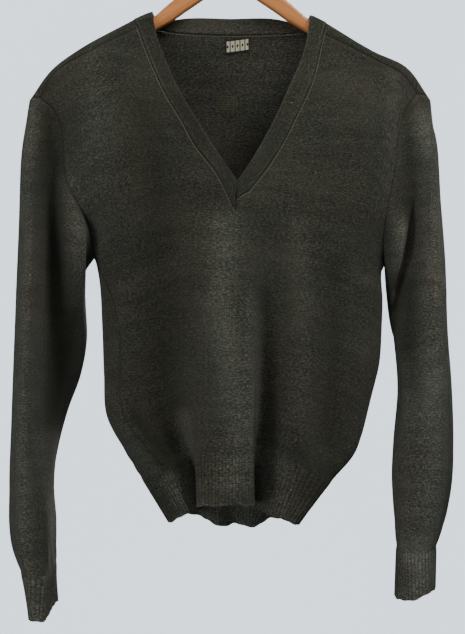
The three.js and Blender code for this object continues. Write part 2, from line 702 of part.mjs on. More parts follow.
async function hangerBar() {
  const right = BAR_EDGES.map(([x, top, low]) => barSection(x, top, low));
  const left = BAR_EDGES.slice(1).reverse().map(([x, top, low]) => barSection(-x, top, low));
  const solid = loft([...left, ...right]);
  const drill = new THREE.CylinderGeometry(WIRE_RADIUS + WIRE_GAP, WIRE_RADIUS + WIRE_GAP, 60, 12);
  drill.rotateX(Math.PI / 2);
  drill.translate(0, 0, SHANK_FOOT - WIRE_GAP + 30);
  const wasm = await Module();
  wasm.setup();
  const asManifold = (geometry) => {
    const bare = new THREE.BufferGeometry();
    bare.setAttribute('position', geometry.getAttribute('position'));
    bare.setIndex(geometry.getIndex());
    const merged = mergeVertices(bare, 1e-4);
    return new wasm.Manifold(new wasm.Mesh({
      numProp: 3,
      vertProperties: new Float32Array(merged.getAttribute('position').array),
      triVerts: new Uint32Array(merged.getIndex().array),
    }));
  };
  const mesh = asManifold(solid).subtract(asManifold(drill)).getMesh();
  const geometry = new THREE.BufferGeometry();
  geometry.setAttribute('position', new THREE.BufferAttribute(mesh.vertProperties, 3));
  geometry.setIndex(new THREE.BufferAttribute(mesh.triVerts, 1));
  return geometry;
}

// Wire hook: a shank in the bar, an easy bend, then a loop open on the left
function hookWire() {
  const crest = WIRE_RADIUS - HOOK_RADIUS;
  const loop = [];
  for (let degrees = -40; degrees <= 195; degrees += 23.5) {
    const turn = (degrees * Math.PI) / 180;
    loop.push(new THREE.Vector3(HOOK_RADIUS * Math.cos(turn), 0, crest + HOOK_RADIUS * Math.sin(turn)));
  }
  const path = new THREE.CatmullRomCurve3([
    new THREE.Vector3(0, 0, SHANK_FOOT), new THREE.Vector3(0, 0, -66),
    new THREE.Vector3(0, 0, -50), new THREE.Vector3(4, 0, -38), ...loop,
  ]);
  const count = 36;
  const rings = [];
  for (let k = 0; k <= count; k += 1) {
    const centre = path.getPointAt(k / count);
    const tangent = path.getTangentAt(k / count);
    const side = new THREE.Vector3(0, 1, 0).cross(tangent).normalize();
    rings.push([...Array(8).keys()].map((i) => {
      const turn = (i * Math.PI) / 4;
      return centre.clone().addScaledVector(side, WIRE_RADIUS * Math.cos(turn))
        .add(new THREE.Vector3(0, WIRE_RADIUS * Math.sin(turn), 0));
    }));
  }
  return loft(rings);
}

const wool = new THREE.MeshStandardMaterial({ color: 0x302e26, roughness: 0.95, metalness: 0 });
const rib = new THREE.MeshStandardMaterial({ color: 0x373732, roughness: 0.95, metalness: 0 });
const weave = new THREE.MeshStandardMaterial({ color: 0x1d1c18, roughness: 0.8, metalness: 0 });
const wood = new THREE.MeshStandardMaterial({ color: 0xa97f5f, roughness: 0.5, metalness: 0 });
const steel = new THREE.MeshStandardMaterial({ color: 0xb8babc, roughness: 0.3, metalness: 1 });

const front = frontSheet();
const rear = backSheet();
const armLeft = sleeveSheet(armhole(front, rear.grid, 'left'), leftSleeve, false);
const armRight = sleeveSheet(armhole(front, rear.grid, 'right'), rightSleeve, true);
const neck = neckSheet(front, rear.grid);
const label = labelSheet();

const frontHemFolds = [...frontLeft, ...frontRight.slice(1)].map((fold) => fold.hem);
const backHemFolds = back.map((fold) => fold.hem);
const frontHemLow = across(frontHemFolds, [...FRONT_LEFT_STEPS, ...FRONT_RIGHT_STEPS],
  backHemFolds[1], backHemFolds[backHemFolds.length - 2]);
const backHemLow = across(backHemFolds, BACK_STEPS,
  frontHemFolds[1], frontHemFolds[frontHemFolds.length - 2]);
const frontHem = ribSheet(front.lastRow, frontHemLow, false, false);
const backHem = ribSheet(rear.lastRow, backHemLow, false, true);
const cuffLeft = ribSheet(armLeft.lastRow, ring(leftSleeve.map((f) => vec(f.cuff))), true, false);
const cuffRight = ribSheet(armRight.lastRow, ring(rightSleeve.map((f) => vec(f.cuff))), true, true);

const normalAt = seamNormals(
  [front, rear, armLeft, armRight, neck, frontHem, backHem, cuffLeft, cuffRight],
  [[SIDE_LEFT[0], [-0.2, -0.1, -1]], [SIDE_RIGHT[0], [0.2, -0.1, -1]]],
);
[front, rear, armLeft, armRight, neck].forEach((piece) => {
  piece.normals = piece.points.map(normalAt);
});
neck.relief = neck.points.map((p, i) => (i % 3 === 1 ? NECK_CROWN : 0));
const labelNormal = seamNormals([label]);
label.normals = label.points.map(labelNormal);

const garment = new THREE.Group();
function add(name, geometry, material) {
  const mesh = new THREE.Mesh(geometry, material);
  mesh.name = name;
  garment.add(mesh);
}

add('front', wall(front, KNIT), wool);
add('back', wall(rear, KNIT), wool);
add('sleeve_left', wall(armLeft, KNIT), wool);
add('sleeve_right', wall(armRight, KNIT), wool);
add('neckband', wall(neck, NECK_RIB), rib);
add('hem_front', wall(ribbed(frontHem, normalAt, HEM_FRONT_RIBS), RIB), rib);
add('hem_back', wall(ribbed(backHem, normalAt, HEM_BACK_RIBS), RIB), rib);
add('cuff_left', wall(ribbed(cuffLeft, normalAt, CUFF_RIBS), RIB), rib);
add('cuff_right', wall(ribbed(cuffRight, normalAt, CUFF_RIBS), RIB), rib);
add('label', wall(label, LABEL_THICKNESS), weave);
add('hanger_bar', await hangerBar(), wood);
add('hanger_hook', hookWire(), steel);

export default garment;
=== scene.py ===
"""Fine-knit V-neck jumper on a slim wooden hanger: its cloth, sewing, label and finish, and the set.

The cloth is laid out along the same fold lines as the solid pieces, at a finer step. Lengths in
the fold lines are millimetres; everything that reaches Blender is in metres.
"""

import math
from functools import partialmethod

import bpy
import numpy as np
from bpy.props import FloatProperty, FloatVectorProperty, PointerProperty
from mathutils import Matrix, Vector
from mathutils.kdtree import KDTree


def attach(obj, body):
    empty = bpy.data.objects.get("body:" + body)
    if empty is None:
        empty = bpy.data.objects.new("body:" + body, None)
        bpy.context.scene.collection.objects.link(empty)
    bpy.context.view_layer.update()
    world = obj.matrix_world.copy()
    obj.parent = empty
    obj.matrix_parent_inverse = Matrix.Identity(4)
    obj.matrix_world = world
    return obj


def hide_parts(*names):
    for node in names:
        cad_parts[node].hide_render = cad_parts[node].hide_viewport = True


bl_info = {
    "name": "Knitted jumper",
    "version": (1, 0, 0),
    "blender": (4, 5, 0),
    "location": "3D View > Sidebar > Knitwear",
    "description": "Builds the cloth, sewing and finish of a knitted jumper around its solid frame",
    "category": "Object",
}

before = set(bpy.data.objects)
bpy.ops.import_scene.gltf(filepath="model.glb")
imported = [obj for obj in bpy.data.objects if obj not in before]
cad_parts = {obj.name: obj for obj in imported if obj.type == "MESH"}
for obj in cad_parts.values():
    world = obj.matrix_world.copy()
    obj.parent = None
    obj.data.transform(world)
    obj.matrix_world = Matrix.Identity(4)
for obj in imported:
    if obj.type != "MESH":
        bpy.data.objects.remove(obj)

MM = 0.001

# Thickness of each cloth, height of its relief, and the gap at a seam, in millimetres
KNIT = 2.0
RIB = 2.2
NECK_RIB = 3.0
LABEL_THICKNESS = 0.7
RIB_RISE = 0.9
NECK_RIB_RISE = 0.4
NECK_CROWN = 0.6
WELT_RISE = 0.6
SEAM_GAP = 0.03
LABEL_GAP = 0.5
RELIEF = 0.6

# Rows of the fold lines: over the shoulder, down the armhole, down the side and down the sleeve,
# where the armhole's form fades out
TOP_ROWS = 4
ARM_ROWS = 8
SIDE_ROWS = 10
FRONT_ROWS = ARM_ROWS + SIDE_ROWS
BACK_ROWS = TOP_ROWS + FRONT_ROWS
ARM_END = TOP_ROWS + ARM_ROWS
SLEEVE_ROWS = 14
ARMHOLE_FADE = 5

# How finely the rows and columns are divided, and how many ribs each strip has
FINE = 6
FINE_ACROSS = 5
FINE_SLEEVE = 9
HEM_FRONT_RIBS = 84
HEM_BACK_RIBS = 76
CUFF_RIBS = 42

# The neckband's width, and how far from its seam the welt lies
BAND_WIDTH = 22
WELT_AT = 1.8

# The label's place on the back, in rows and columns of its fold lines, and how it tilts
LABEL_ROWS = (TOP_ROWS + 0.13, TOP_ROWS + 0.68)
LABEL_COLUMNS = (4.9, 5.4)
LABEL_DROP = 0.05
LABEL_TILT = 0.24
LABEL_BLOCKS = 5

# Where the stitches beside the neckband start: y on the front, and y on the back
FRONT_SEAM_FROM = -11.0
BACK_SEAM_FROM = 13.0

# Small ripples of the knit above a rib: how far and how slowly they wander, their length, their
# reach and where they start; and the strip along a seam in which the knit rolls down to it
RIPPLE_WANDER = 1.3
RIPPLE_WANDER_LENGTH = 23
RIPPLE_LENGTH = 15
RIPPLE_REACH = 26
RIPPLE_START = 9
SEAM_ROLL = 12

# Ripples of a rib's lower edge: height, length and where each starts
EDGE_WAVES = ((0.8, 38, 0.0), (0.5, 17, 1.0))

# Distance at which a seam has no effect any more, and the pull below which an edge stays in place
FAR_FROM_SEAM = 30.0
LEAST_PULL = 0.2

# The inside of a cloth: how much of a trough shows there, and how much painted light brightens its
# shaded side, on each piece and more on the back hem
INNER_SHARE = 0.6
INSIDE_PAINTED_LIGHT = 0.4
HEM_INSIDE_PAINTED_LIGHT = 2.2

# The rib's yarn against the knit's, the colours of the painted shade in the knit's hollows, in grooves
# and in rib valleys, and the colour of the inside
RIB_LIFT = 1.1
HOLLOW_SHADE_COLOUR = (0.006, 0.006, 0.005, 1.0)
SHADE_COLOUR = (0.008, 0.008, 0.006, 1.0)
INSIDE_COLOUR = (0.01, 0.01, 0.008, 1.0)

# Half the bar's depth, in millimetres
BAR_HALF = 6.0

# The set, in metres
ROOM_RADIUS = 7
FLOOR_RADIUS = 3.0
FLOOR_HEIGHT = -1.5
MIDDLE_HEIGHT = -0.45

# Seams that two pieces share
SIDE_LEFT = [
    [-163, 0, -430], [-155, -13, -444], [-139, -26, -478], [-132, -32, -505],
    [-129, -35, -576], [-127, -34, -612], [-104, -32, -648], [-79, -31, -676],
]
SIDE_RIGHT = [
    [185, 0, -439], [179, -9, -452], [181, -12, -475], [181, -9, -516], [179, -5, -555],
    [168, -4, -599], [158, -4, -641], [151, -4, -660], [122, -4, -696],
]
SIDE_LEFT_HEM = [-49, -28, -733]
SIDE_RIGHT_HEM = [81, -8, -748]
V_TIP = [6, -46, -377]
NECK_LEFT = [-110, -12.5, -155]
NECK_RIGHT = [112, -12.5, -162]
ARMHOLE_FRONT_LEFT = [
    [-227, -10, -238], [-208, -18, -256], [-199, -24, -282], [-197, -27, -312],
    [-193, -28, -341], [-176, -24, -374], [-167, -14, -398], [-163, 0, -430],
]
ARMHOLE_FRONT_RIGHT = [
    [223, -10, -233], [209, -20, -254], [200, -25, -286], [197, -28, -316],
    [192, -28, -347], [184, -24, -389], [183, -12, -424], [185, 0, -439],
]
CENTRE_FRONT = [V_TIP, [6, -52, -430], [4, -57, -500], [0, -61, -600], [-4, -62, -661]]
CENTRE_FRONT_HEM = [-5, -63, -719]


def line(hem, *stretches):
    """A fold line: where it ends at the rib's lower edge, and its stretches of rows."""
    return {"hem": np.array(hem, float), "stretches": stretches}


def front_line(hem, *points):
    return line(hem, (0, FRONT_ROWS, points))


def back_line(hem, *points):
    return line(hem, (TOP_ROWS, BACK_ROWS, points))


def over_line(hem, *points):
    """A fold line that runs over the shoulder and down the back; they meet at its fifth point."""
    return line(hem, (0, TOP_ROWS, points[:5]), (TOP_ROWS, BACK_ROWS, points[4:]))


FRONT_LEFT = [
    line(SIDE_LEFT_HEM, (0, ARM_ROWS, ARMHOLE_FRONT_LEFT), (ARM_ROWS, FRONT_ROWS, SIDE_LEFT)),
    front_line(
        [-30, 10, -728],
        [-185, -11, -187], [-165, -28, -240], [-140, -40, -320], [-118, -44, -400],
        [-102, -38, -480], [-90, -28, -560], [-78, -18, -620], [-48, -4, -668],
    ),
    front_line(
        [-33, -60, -721],
        [-150, -12, -172], [-122, -32, -240], [-92, -44, -320], [-66, -48, -400],
        [-50, -47, -480], [-42, -45, -560], [-37, -46, -620], [-34, -52, -660],
    ),
    line(CENTRE_FRONT_HEM, (0, ARM_ROWS, [
        NECK_LEFT, [-94, -24, -198], [-74, -32, -241], [-57, -36, -269],
        [-42, -39, -297], [-17, -43, -330], V_TIP,
    ]), (ARM_ROWS, FRONT_ROWS, CENTRE_FRONT)),
]
FRONT_RIGHT = [
    line(CENTRE_FRONT_HEM, (0, ARM_ROWS, [
        NECK_RIGHT, [94, -28, -231], [81, -32, -258], [66, -36, -289],
        [44, -40, -325], [22.5, -44, -353], V_TIP,
    ]), (ARM_ROWS, FRONT_ROWS, CENTRE_FRONT)),
    front_line(
        [23, -60, -720],
        [128, -12, -169], [116, -32, -240], [92, -42, -310], [55, -49, -370],
        [28, -53, -430], [22, -58, -500], [22, -62, -580], [22, -61, -661],
    ),
    front_line(
        [22, 8, -728],
        [150, -12, -180], [138, -30, -245], [112, -40, -320], [76, -44, -385],
        [48, -42, -450], [42, -36, -520], [36, -28, -600], [30, -12, -664],
    ),
    front_line(
        [52, -26, -736],
        [175, -11, -194], [162, -30, -255], [138, -42, -330], [108, -48, -400],
        [90, -50, -470], [86, -52, -540], [82, -51, -610], [70, -40, -670],
    ),
    front_line(
        [68, -20, -743],
        [200, -10, -210], [184, -26, -262], [168, -36, -330], [150, -38, -400],
        [138, -38, -470], [132, -37, -540], [122, -35, -610], [97, -30, -684],
    ),
    line(SIDE_RIGHT_HEM, (0, ARM_ROWS, ARMHOLE_FRONT_RIGHT), (ARM_ROWS, FRONT_ROWS, SIDE_RIGHT)),
]
FRONT_LEFT_STEPS = [4, 4, 3]
FRONT_RIGHT_STEPS = [2, 3, 3, 3, 3]

BACK = [
    line(SIDE_LEFT_HEM, (0, TOP_ROWS, [
        [-227, -10, -238], [-237, -6, -238], [-241, 1, -241], [-238, 9, -247], [-230, 15, -258],
    ]), (TOP_ROWS, ARM_END, [
        [-230, 15, -258], [-210, 21, -290], [-201, 23, -325], [-190, 21, -365],
        [-173, 12, -402], [-163, 0, -430],
    ]), (ARM_END, BACK_ROWS, SIDE_LEFT)),
    over_line(
        [-73, -5, -746],
        [-213, -11, -213], [-213, -8.5, -207], [-214, 0, -203.5], [-214, 8.5, -207],
        [-213, 11.5, -218],
        [-204, 22, -270], [-190, 26, -330], [-172, 20, -395],
        [-158, 4, -450], [-153, -4, -516], [-151, -6, -568], [-147, -7, -620],
        [-128, -7, -656], [-106, -6, -692],
    ),
    over_line(
        [-62, 28, -742],
        [-165, -11, -181], [-166, -8.5, -174.5], [-167, 0, -171], [-167, 8.5, -174.5],
        [-166, 11, -183],
        [-150, 24, -250], [-135, 32, -340], [-128, 34, -430],
        [-128, 32, -520], [-124, 30, -600], [-104, 30, -660], [-84, 30, -688],
    ),
    over_line(
        [-35, 46, -744],
        NECK_LEFT, [-114, -9.5, -147], [-116, 0, -143.5], [-113, 9.5, -147], [-107, 12.5, -154],
        [-100, 24, -230], [-90, 34, -320], [-80, 38, -430],
        [-74, 40, -520], [-66, 42, -600], [-48, 44, -692],
    ),
    back_line(
        [-12, 36, -756],
        [-60, 13.5, -158], [-52, 26, -230], [-45, 36, -330], [-38, 41, -430],
        [-32, 42, -520], [-25, 42, -600], [-18, 42, -696],
    ),
    back_line(
        [4, 44, -753],
        [0, 14.5, -160], [0, 28, -230], [0, 38, -330], [0, 43, -430],
        [2, 45, -520], [4, 46, -600], [4, 46, -696],
    ),
    back_line(
        [24, 38, -757],
        [60, 13.5, -159], [52, 26, -230], [46, 36, -330], [42, 41, -430],
        [38, 43, -520], [34, 44, -600], [28, 44, -696],
    ),
    over_line(
        [48, 46, -748],
        NECK_RIGHT, [115, -9.5, -151], [116, 0, -147.5], [113, 9.5, -151], [108, 12.5, -159],
        [102, 24, -235], [98, 33, -325], [94, 37, -430],
        [90, 39, -520], [84, 42, -600], [60, 44, -694],
    ),
    over_line(
        [70, 26, -746],
        [172, -11, -192], [172, -8.5, -184.5], [172, 0, -181], [172, 8.5, -184.5],
        [171, 11, -193],
        [162, 24, -255], [155, 30, -340], [150, 32, -430],
        [148, 32, -520], [140, 32, -600], [98, 28, -694],
    ),
    over_line(
        [80, 10, -747],
        [209, -11, -213], [211, -8.5, -204.5], [212, 0, -200.5], [212, 8.5, -204.5],
        [211, 11.5, -214],
        [203, 21, -265], [194, 26, -330], [184, 22, -400],
        [180, 18, -480], [175, 18, -560], [158, 16, -630], [112, 12, -694],
    ),
    line(SIDE_RIGHT_HEM, (0, TOP_ROWS, [
        [223, -10, -233], [236, -6, -236], [241, 1, -241], [239, 9, -247], [232, 15, -258],
    ]), (TOP_ROWS, ARM_END, [
        [232, 15, -258], [214, 20, -290], [206, 22, -330], [198, 20, -375],
        [190, 11, -415], [185, 0, -439],
    ]), (ARM_END, BACK_ROWS, SIDE_RIGHT)),
]
BACK_STEPS = [3, 4, 4, 2, 2, 2, 2, 5, 5, 4]
NECK_LINES = (3, 7)
NECK_FROM = sum(BACK_STEPS[:NECK_LINES[0]])
NECK_TO = sum(BACK_STEPS[:NECK_LINES[1]])

# Fold lines round each sleeve, from the column of the armhole that each one starts at; the
# first point of each pair is where the line ends at the cuff's lower edge
SLEEVE_COLUMNS = [18, 1, 3, 6, 8, 11, 15]
SLEEVE_COUNT = TOP_ROWS + 2 * ARM_ROWS
LEFT_SLEEVE = [
    ([-236, -10, -856], [
        [-248, 0, -306], [-254, 0, -409], [-258, -2, -516], [-262, -4, -632],
        [-264, -6, -702], [-260, -8, -775], [-250, -8, -802],
    ]),
    ([-232, -44, -858], [
        [-230, -36, -306], [-234, -46, -409], [-238, -52, -516], [-240, -56, -632],
        [-241, -56, -702], [-239, -52, -775], [-233, -48, -806],
    ]),
    ([-222, -47, -858], [
        [-211, -22, -352], [-214, -11, -425], [-218, -8, -516], [-220, -18, -600],
        [-218, -28, -700], [-215, -32, -765], [-220, -34, -806],
    ]),
    ([-215, -30, -853], [
        [-173, -31, -425], [-178, -26, -458], [-186, -12, -505], [-195, 1, -565],
        [-206, 4, -632], [-211, -4, -700], [-211, -10, -760], [-213, -14, -803],
    ]),
    ([-213, -5, -847], [
        [-174, 4, -446], [-174, 10, -481], [-173, 14, -530], [-181, 16, -571],
        [-196, 15, -612], [-208, 12, -660], [-212, 10, -690], [-209, 6, -745], [-209, 4, -797],
    ]),
    ([-214, 35, -846], [
        [-184, 34, -430], [-190, 42, -516], [-206, 42, -600], [-222, 42, -680],
        [-225, 40, -740], [-220, 34, -797],
    ]),
    ([-228, 36, -848], [
        [-226, 36, -340], [-232, 42, -430], [-238, 42, -516], [-244, 42, -632],
        [-247, 40, -702], [-244, 36, -765], [-237, 34, -798],
    ]),
]
RIGHT_SLEEVE = [
    ([246, 0, -822], [
        [246, 0, -295], [252, 0, -358], [258, 0, -430], [261, 0, -516], [266, 0, -586],
        [268, 0, -650], [266, 0, -700], [258, 0, -742], [247, 0, -774],
    ]),
    ([234, -30, -828], [
        [236, -32, -295], [241, -44, -380], [243, -48, -450], [244, -48, -516], [248, -44, -586],
        [248, -40, -650], [246, -38, -700], [238, -36, -745], [233, -33, -778],
    ]),
    ([214, -32, -835], [
        [217, -22, -350], [214, -15, -400], [206, -10, -460], [203, -12, -516], [209, -28, -586],
        [212, -36, -650], [211, -36, -700], [209, -34, -742], [212, -33, -780],
    ]),
    ([202, -16, -837], [
        [202, -31, -418], [199, -20, -452], [193, -7, -490], [197, 0, -530], [203, -10, -586],
        [199, -18, -650], [197, -18, -700], [199, -17, -742], [202, -17, -779],
    ]),
    ([198, 0, -834], [
        [188, 6, -472], [195, 14, -516], [204, 14, -545], [202, 6, -586],
        [196, 2, -650], [194, 0, -690], [197, 0, -740], [200, 0, -776],
    ]),
    ([212, 30, -829], [
        [205, 32, -430], [212, 40, -516], [214, 40, -586], [212, 36, -650],
        [212, 34, -700], [212, 32, -776],
    ]),
    ([234, 30, -825], [
        [236, 34, -345], [242, 42, -430], [246, 42, -516], [248, 40, -586],
        [248, 36, -650], [246, 34, -700], [240, 33, -742], [234, 31, -776],
    ]),
]

# Inner edge of the neckband
BAND_TIP = [9, -45, -340]
BAND_LEFT = [
    [-91, -12, -147], [-88, -14, -160], [-69, -24, -212], [-53, -31, -243],
    [-38, -35, -268], [-18, -40, -300], BAND_TIP,
]
BAND_RIGHT = [
    [94, -12, -152], [92, -14, -166], [85, -22, -192], [70, -30, -227],
    [60, -34, -250], [45, -38, -281], [28, -42, -311], BAND_TIP,
]
BAND_OVER_LEFT = [
    [-91, -12, -147], [-92.5, -9.5, -137.5], [-93, 0, -133.5], [-91, 9.5, -137.5],
    [-86, 13, -145],
]
BAND_OVER_RIGHT = [
    [94, -12, -152], [95.5, -9.5, -141.5], [96, 0, -137.5], [94, 9.5, -141], [89, 13, -149],
]
BAND_BACK = [
    [-86, 13, -145], [-56, 14.5, -140], [0, 15, -140], [58, 14.5, -141], [89, 13, -149],
]

# Wooden bar, right half from the centre out: x, upper edge, lower edge
BAR_EDGES = [
    [0, -66, -102], [16, -74, -108], [34, -91, -121], [52, -106, -133], [69, -120.5, -145],
    [94, -143, -160], [120, -157, -174], [151, -173.4, -190], [180, -189, -205],
    [200, -200.5, -216], [211, -209, -220], [215, -213, -219],
]

# Soft folds on each side of the cloth: the fold's line as x and z, its half width,
# how far it stands out (or in, below zero), and how much painted light it gets there (painted shade,
# below zero)
FRONT_FOLDS = [
    ([[-7, -396], [-10, -480], [2, -552], [12, -624], [2, -690]], 19, 3.0, 0.95),
    ([[-98, -262], [-86, -360], [-80, -480], [-80, -600], [-66, -672]], 30, -4.0, -0.38),
    ([[38, -470], [38, -560], [38, -650]], 9, -1.0, -0.25),
    ([[82, -400], [84, -500], [82, -640]], 13, 2.0, 0.32),
    ([[124, -440], [122, -540], [116, -640]], 13, -2.5, -0.28),
    ([[160, -470], [158, -560]], 10, 1.5, 0.12),
    ([[-164, -190], [-158, -264], [-156, -360], [-162, -410]], 21, 2.5, 0.36),
    ([[194, -216], [192, -290], [184, -370]], 11, 1.5, 0.5),
    ([[110, -260], [60, -420]], 22, 1.0, 0.1),
    ([[-120, -470], [-60, -440]], 9, 1.2, 0.1),
    ([[176, -452], [120, -476]], 8, 1.6, 0.15),
    ([[-242, -250], [-241, -408], [-241, -516], [-243, -660], [-238, -768], [-230, -850]],
     15, 1.0, 0.85),
    ([[-216, -262], [-212, -330], [-210, -408], [-210, -516], [-214, -620]], 13, -1.5, -0.62),
    ([[-188, -345], [-182, -390], [-178, -440]], 15, 1.5, 0.8),
    ([[-188, -500], [-198, -580], [-202, -640]], 12, 0.0, -0.5),
    ([[231, -280], [238, -330], [241, -400], [240, -516], [237, -660], [228, -800], [218, -850]],
     24, 1.0, 1.3),
    ([[212, -255], [215, -330], [214, -408], [213, -470], [214, -580]], 10, -1.5, -0.6),
    ([[203, -392], [203, -440]], 11, 2.0, 1.9),
    ([[208, -560], [204, -660], [208, -790]], 10, 0.5, 0.55),
    ([[-64, -690], [-48, -726]], 14, 0.0, 0.95),
    ([[44, -672], [66, -728]], 22, 0.0, 1.0),
    ([[-30, -706], [16, -712]], 26, 0.0, 0.3),
    ([[-56, -620], [-48, -700]], 10, 0.0, 0.8),
    ([[-116, -612], [-86, -656], [-58, -690]], 9, 0.0, -0.4),
    ([[-142, -590], [-122, -634], [-92, -680], [-66, -714]], 10, 0.0, 0.4),
    ([[25, -480], [28, -560], [31, -690]], 8, 0.0, 0.75),
    ([[-226, -790], [-222, -860]], 16, 0.0, 0.5),
    ([[222, -790], [220, -850]], 18, 0.0, 0.7),
    ([[-246, -560], [-226, -586]], 7, -1.5, -0.12),
    ([[-250, -470], [-228, -452]], 7, 1.5, 0.1),
    ([[262, -540], [238, -560]], 7, -1.6, -0.12),
    ([[258, -470], [232, -448]], 7, 1.4, 0.1),
]
BACK_FOLDS = [
    ([[-60, -260], [-66, -420], [-58, -640]], 20, 3.0, 0.3),
    ([[10, -300], [4, -460], [0, -660]], 16, -3.0, -0.25),
    ([[70, -280], [66, -460], [52, -660]], 18, 2.5, 0.3),
    ([[-150, -300], [-120, -360]], 12, 2.0, 0.15),
    ([[150, -300], [126, -370]], 12, 2.0, 0.15),
    ([[-226, -420], [-230, -620]], 14, 1.5, 0.25),
    ([[228, -420], [232, -620]], 14, 1.5, 0.25),
]


def size(v):
    return np.linalg.norm(v, axis=-1, keepdims=True)


def unit(v):
    return v / np.maximum(size(v), 1e-9)


def eased(t):
    """A fraction from 0 to 1 that starts and ends gently."""
    return t * t * (3 - 2 * t)


def smooth(x, low, high):
    return eased(np.clip((np.asarray(x, float) - low) / (high - low), 0, 1))


def bell(x, width):
    return np.exp(-(x / width) ** 2)


def numbered(grid):
    """The vertex numbers of a grid of points, in its rows."""
    return np.arange(grid.shape[0] * grid.shape[1]).reshape(grid.shape[:2])


def tree_of(points):
    """A search tree of a list of points."""
    tree = KDTree(len(points))
    for number, point in enumerate(points):
        tree.insert(point, number)
    tree.balance()
    return tree


def slope(p, q, r, s, t):
    return (q - p) * (t / (s * (s + t))) + (r - q) * (s / (t * (s + t)))


def between(a, b, c, d, f):
    """The point a fraction f of the way from b to c on a smooth curve through a, b, c and d."""
    g, h, k = size(b - a), size(c - b), size(d - c)
    out = b + (c - b) * eased(f)
    out = out + slope(a, b, c, g, h) * h * f * (1 - f) ** 2
    return out - slope(b, c, d, h, k) * h * f * f * (1 - f)


def along(points, fractions):
    """Points at fractions of a curve's length."""
    p = np.asarray(points, float)
    lengths = np.linalg.norm(np.diff(p, axis=0), axis=1)
    ends = np.concatenate([[0], np.cumsum(lengths)])
    at = np.clip(np.asarray(fractions, float), 0, 1) * ends[-1]
    i = np.clip(np.searchsorted(ends, at) - 1, 0, len(p) - 2)
    f = ((at - ends[i]) / lengths[i])[:, None]
    wide = np.vstack([2 * p[0] - p[1], p, 2 * p[-1] - p[-2]])
    return between(wide[i], wide[i + 1], wide[i + 2], wide[i + 3], f)


def line_at(fold, rows):
    """Points of a fold line at an array of rows."""
    rows = np.asarray(rows, float)
    out = np.zeros((len(rows), 3))
    done = np.zeros(len(rows), bool)
    stretches = fold["stretches"]
    for number, (start, end, points) in enumerate(stretches):
        last = number == len(stretches) - 1
        here = ~done & ((rows <= end) | last)
        if here.any():
            out[here] = along(points, np.maximum(0, rows[here] - start) / (end - start))
        done |= here
    return out


def faded(a, b, share):
    """Rows of one grid that pass into another's, by a share for each row."""
    return a + (b - a) * np.clip(share, 0, 1)[:, None, None]


def across(folds, steps, before=None, after=None):
    """Points across rows of fold-line points; folds is an array of lines by rows by 3."""
    p = np.asarray(folds, float)
    first = 2 * p[0] - p[1] if before is None else before
    last = 2 * p[-1] - p[-2] if after is None else after
    wide = np.concatenate([first[None], p, last[None]])
    columns = []
    for i, count in enumerate(steps):
        for k in range(count * FINE_ACROSS):
            columns.append(between(*wide[i:i + 4], k / (count * FINE_ACROSS)))
    columns.append(p[-1])
    return np.stack(columns, axis=1)


def fine_rows(last, fine=FINE, first=0):
    return first + np.arange((last - first) * fine + 1) / fine


def lines_at(folds, rows):
    return np.stack([line_at(fold, rows) for fold in folds])


def shoulder_parts(rows):
    """The back over the left and right shoulders, beside the open neck."""
    p = lines_at(BACK, rows)
    start, end = NECK_LINES
    return across(p[:start + 1], BACK_STEPS[:start]), across(p[end:], BACK_STEPS[end:])


def front_grids():
    """The left and right halves of the front; they share the centre column below the V."""
    rows = fine_rows(FRONT_ROWS)
    left_lines, right_lines = lines_at(FRONT_LEFT, rows), lines_at(FRONT_RIGHT, rows)
    left = across(left_lines, FRONT_LEFT_STEPS)
    right = across(right_lines, FRONT_RIGHT_STEPS)
    before, after = line_at(BACK[1], rows + TOP_ROWS), line_at(BACK[-2], rows + TOP_ROWS)
    whole = across(np.concatenate([left_lines, right_lines[1:]]),
                   FRONT_LEFT_STEPS + FRONT_RIGHT_STEPS, before, after)
    half = sum(FRONT_LEFT_STEPS) * FINE_ACROSS
    below_arm = rows - (ARM_ROWS - 1)
    left = faded(left, whole[:, :half + 1], below_arm)
    right = faded(right, whole[:, half:], below_arm)
    top_left, top_right = shoulder_parts(np.zeros(1))
    left = faded(left, left + top_left - left[:1], 1 - rows)
    right = faded(right, right + top_right - right[:1], 1 - rows)
    return left, right


def back_grids():
    """The back below the neck, then its two parts over the shoulders."""
    rows = fine_rows(BACK_ROWS, first=TOP_ROWS)
    folds = lines_at(BACK, rows)
    before = line_at(FRONT_LEFT[1], rows - TOP_ROWS)
    after = line_at(FRONT_RIGHT[-2], rows - TOP_ROWS)
    body = faded(across(folds, BACK_STEPS), across(folds, BACK_STEPS, before, after), rows - ARM_END)
    top = fine_rows(TOP_ROWS)
    left, right = shoulder_parts(top)
    joining = top - (TOP_ROWS - 1)
    left = faded(left, left + body[0, :left.shape[1]] - left[-1], joining)
    right = faded(right, right + body[0, -right.shape[1]:] - right[-1], joining)
    return body, left, right


def armhole(front_edge, top_edge, body_edge):
    """The loop of armhole points: down the front, then up the back and over the shoulder."""
    down = front_edge[:ARM_ROWS * FINE + 1]
    up = np.concatenate([top_edge, body_edge[1:ARM_ROWS * FINE + 1]])
    return np.concatenate([down, up[::-1][1:-1]])


def ring(folds):
    """Rings round closed lists of fold points; folds is an array of lines by rows by 3."""
    count = len(folds)
    out = np.zeros((folds.shape[1], SLEEVE_COUNT * FINE, 3))
    for i in range(count):
        start = SLEEVE_COLUMNS[i]
        span = (SLEEVE_COLUMNS[(i + 1) % count] - start + SLEEVE_COUNT) % SLEEVE_COUNT
        for k in range(span * FINE):
            column = (start * FINE + k) % (SLEEVE_COUNT * FINE)
            out[:, column] = between(folds[i - 1], folds[i], folds[(i + 1) % count],
                                     folds[(i + 2) % count], k / (span * FINE))
    return out


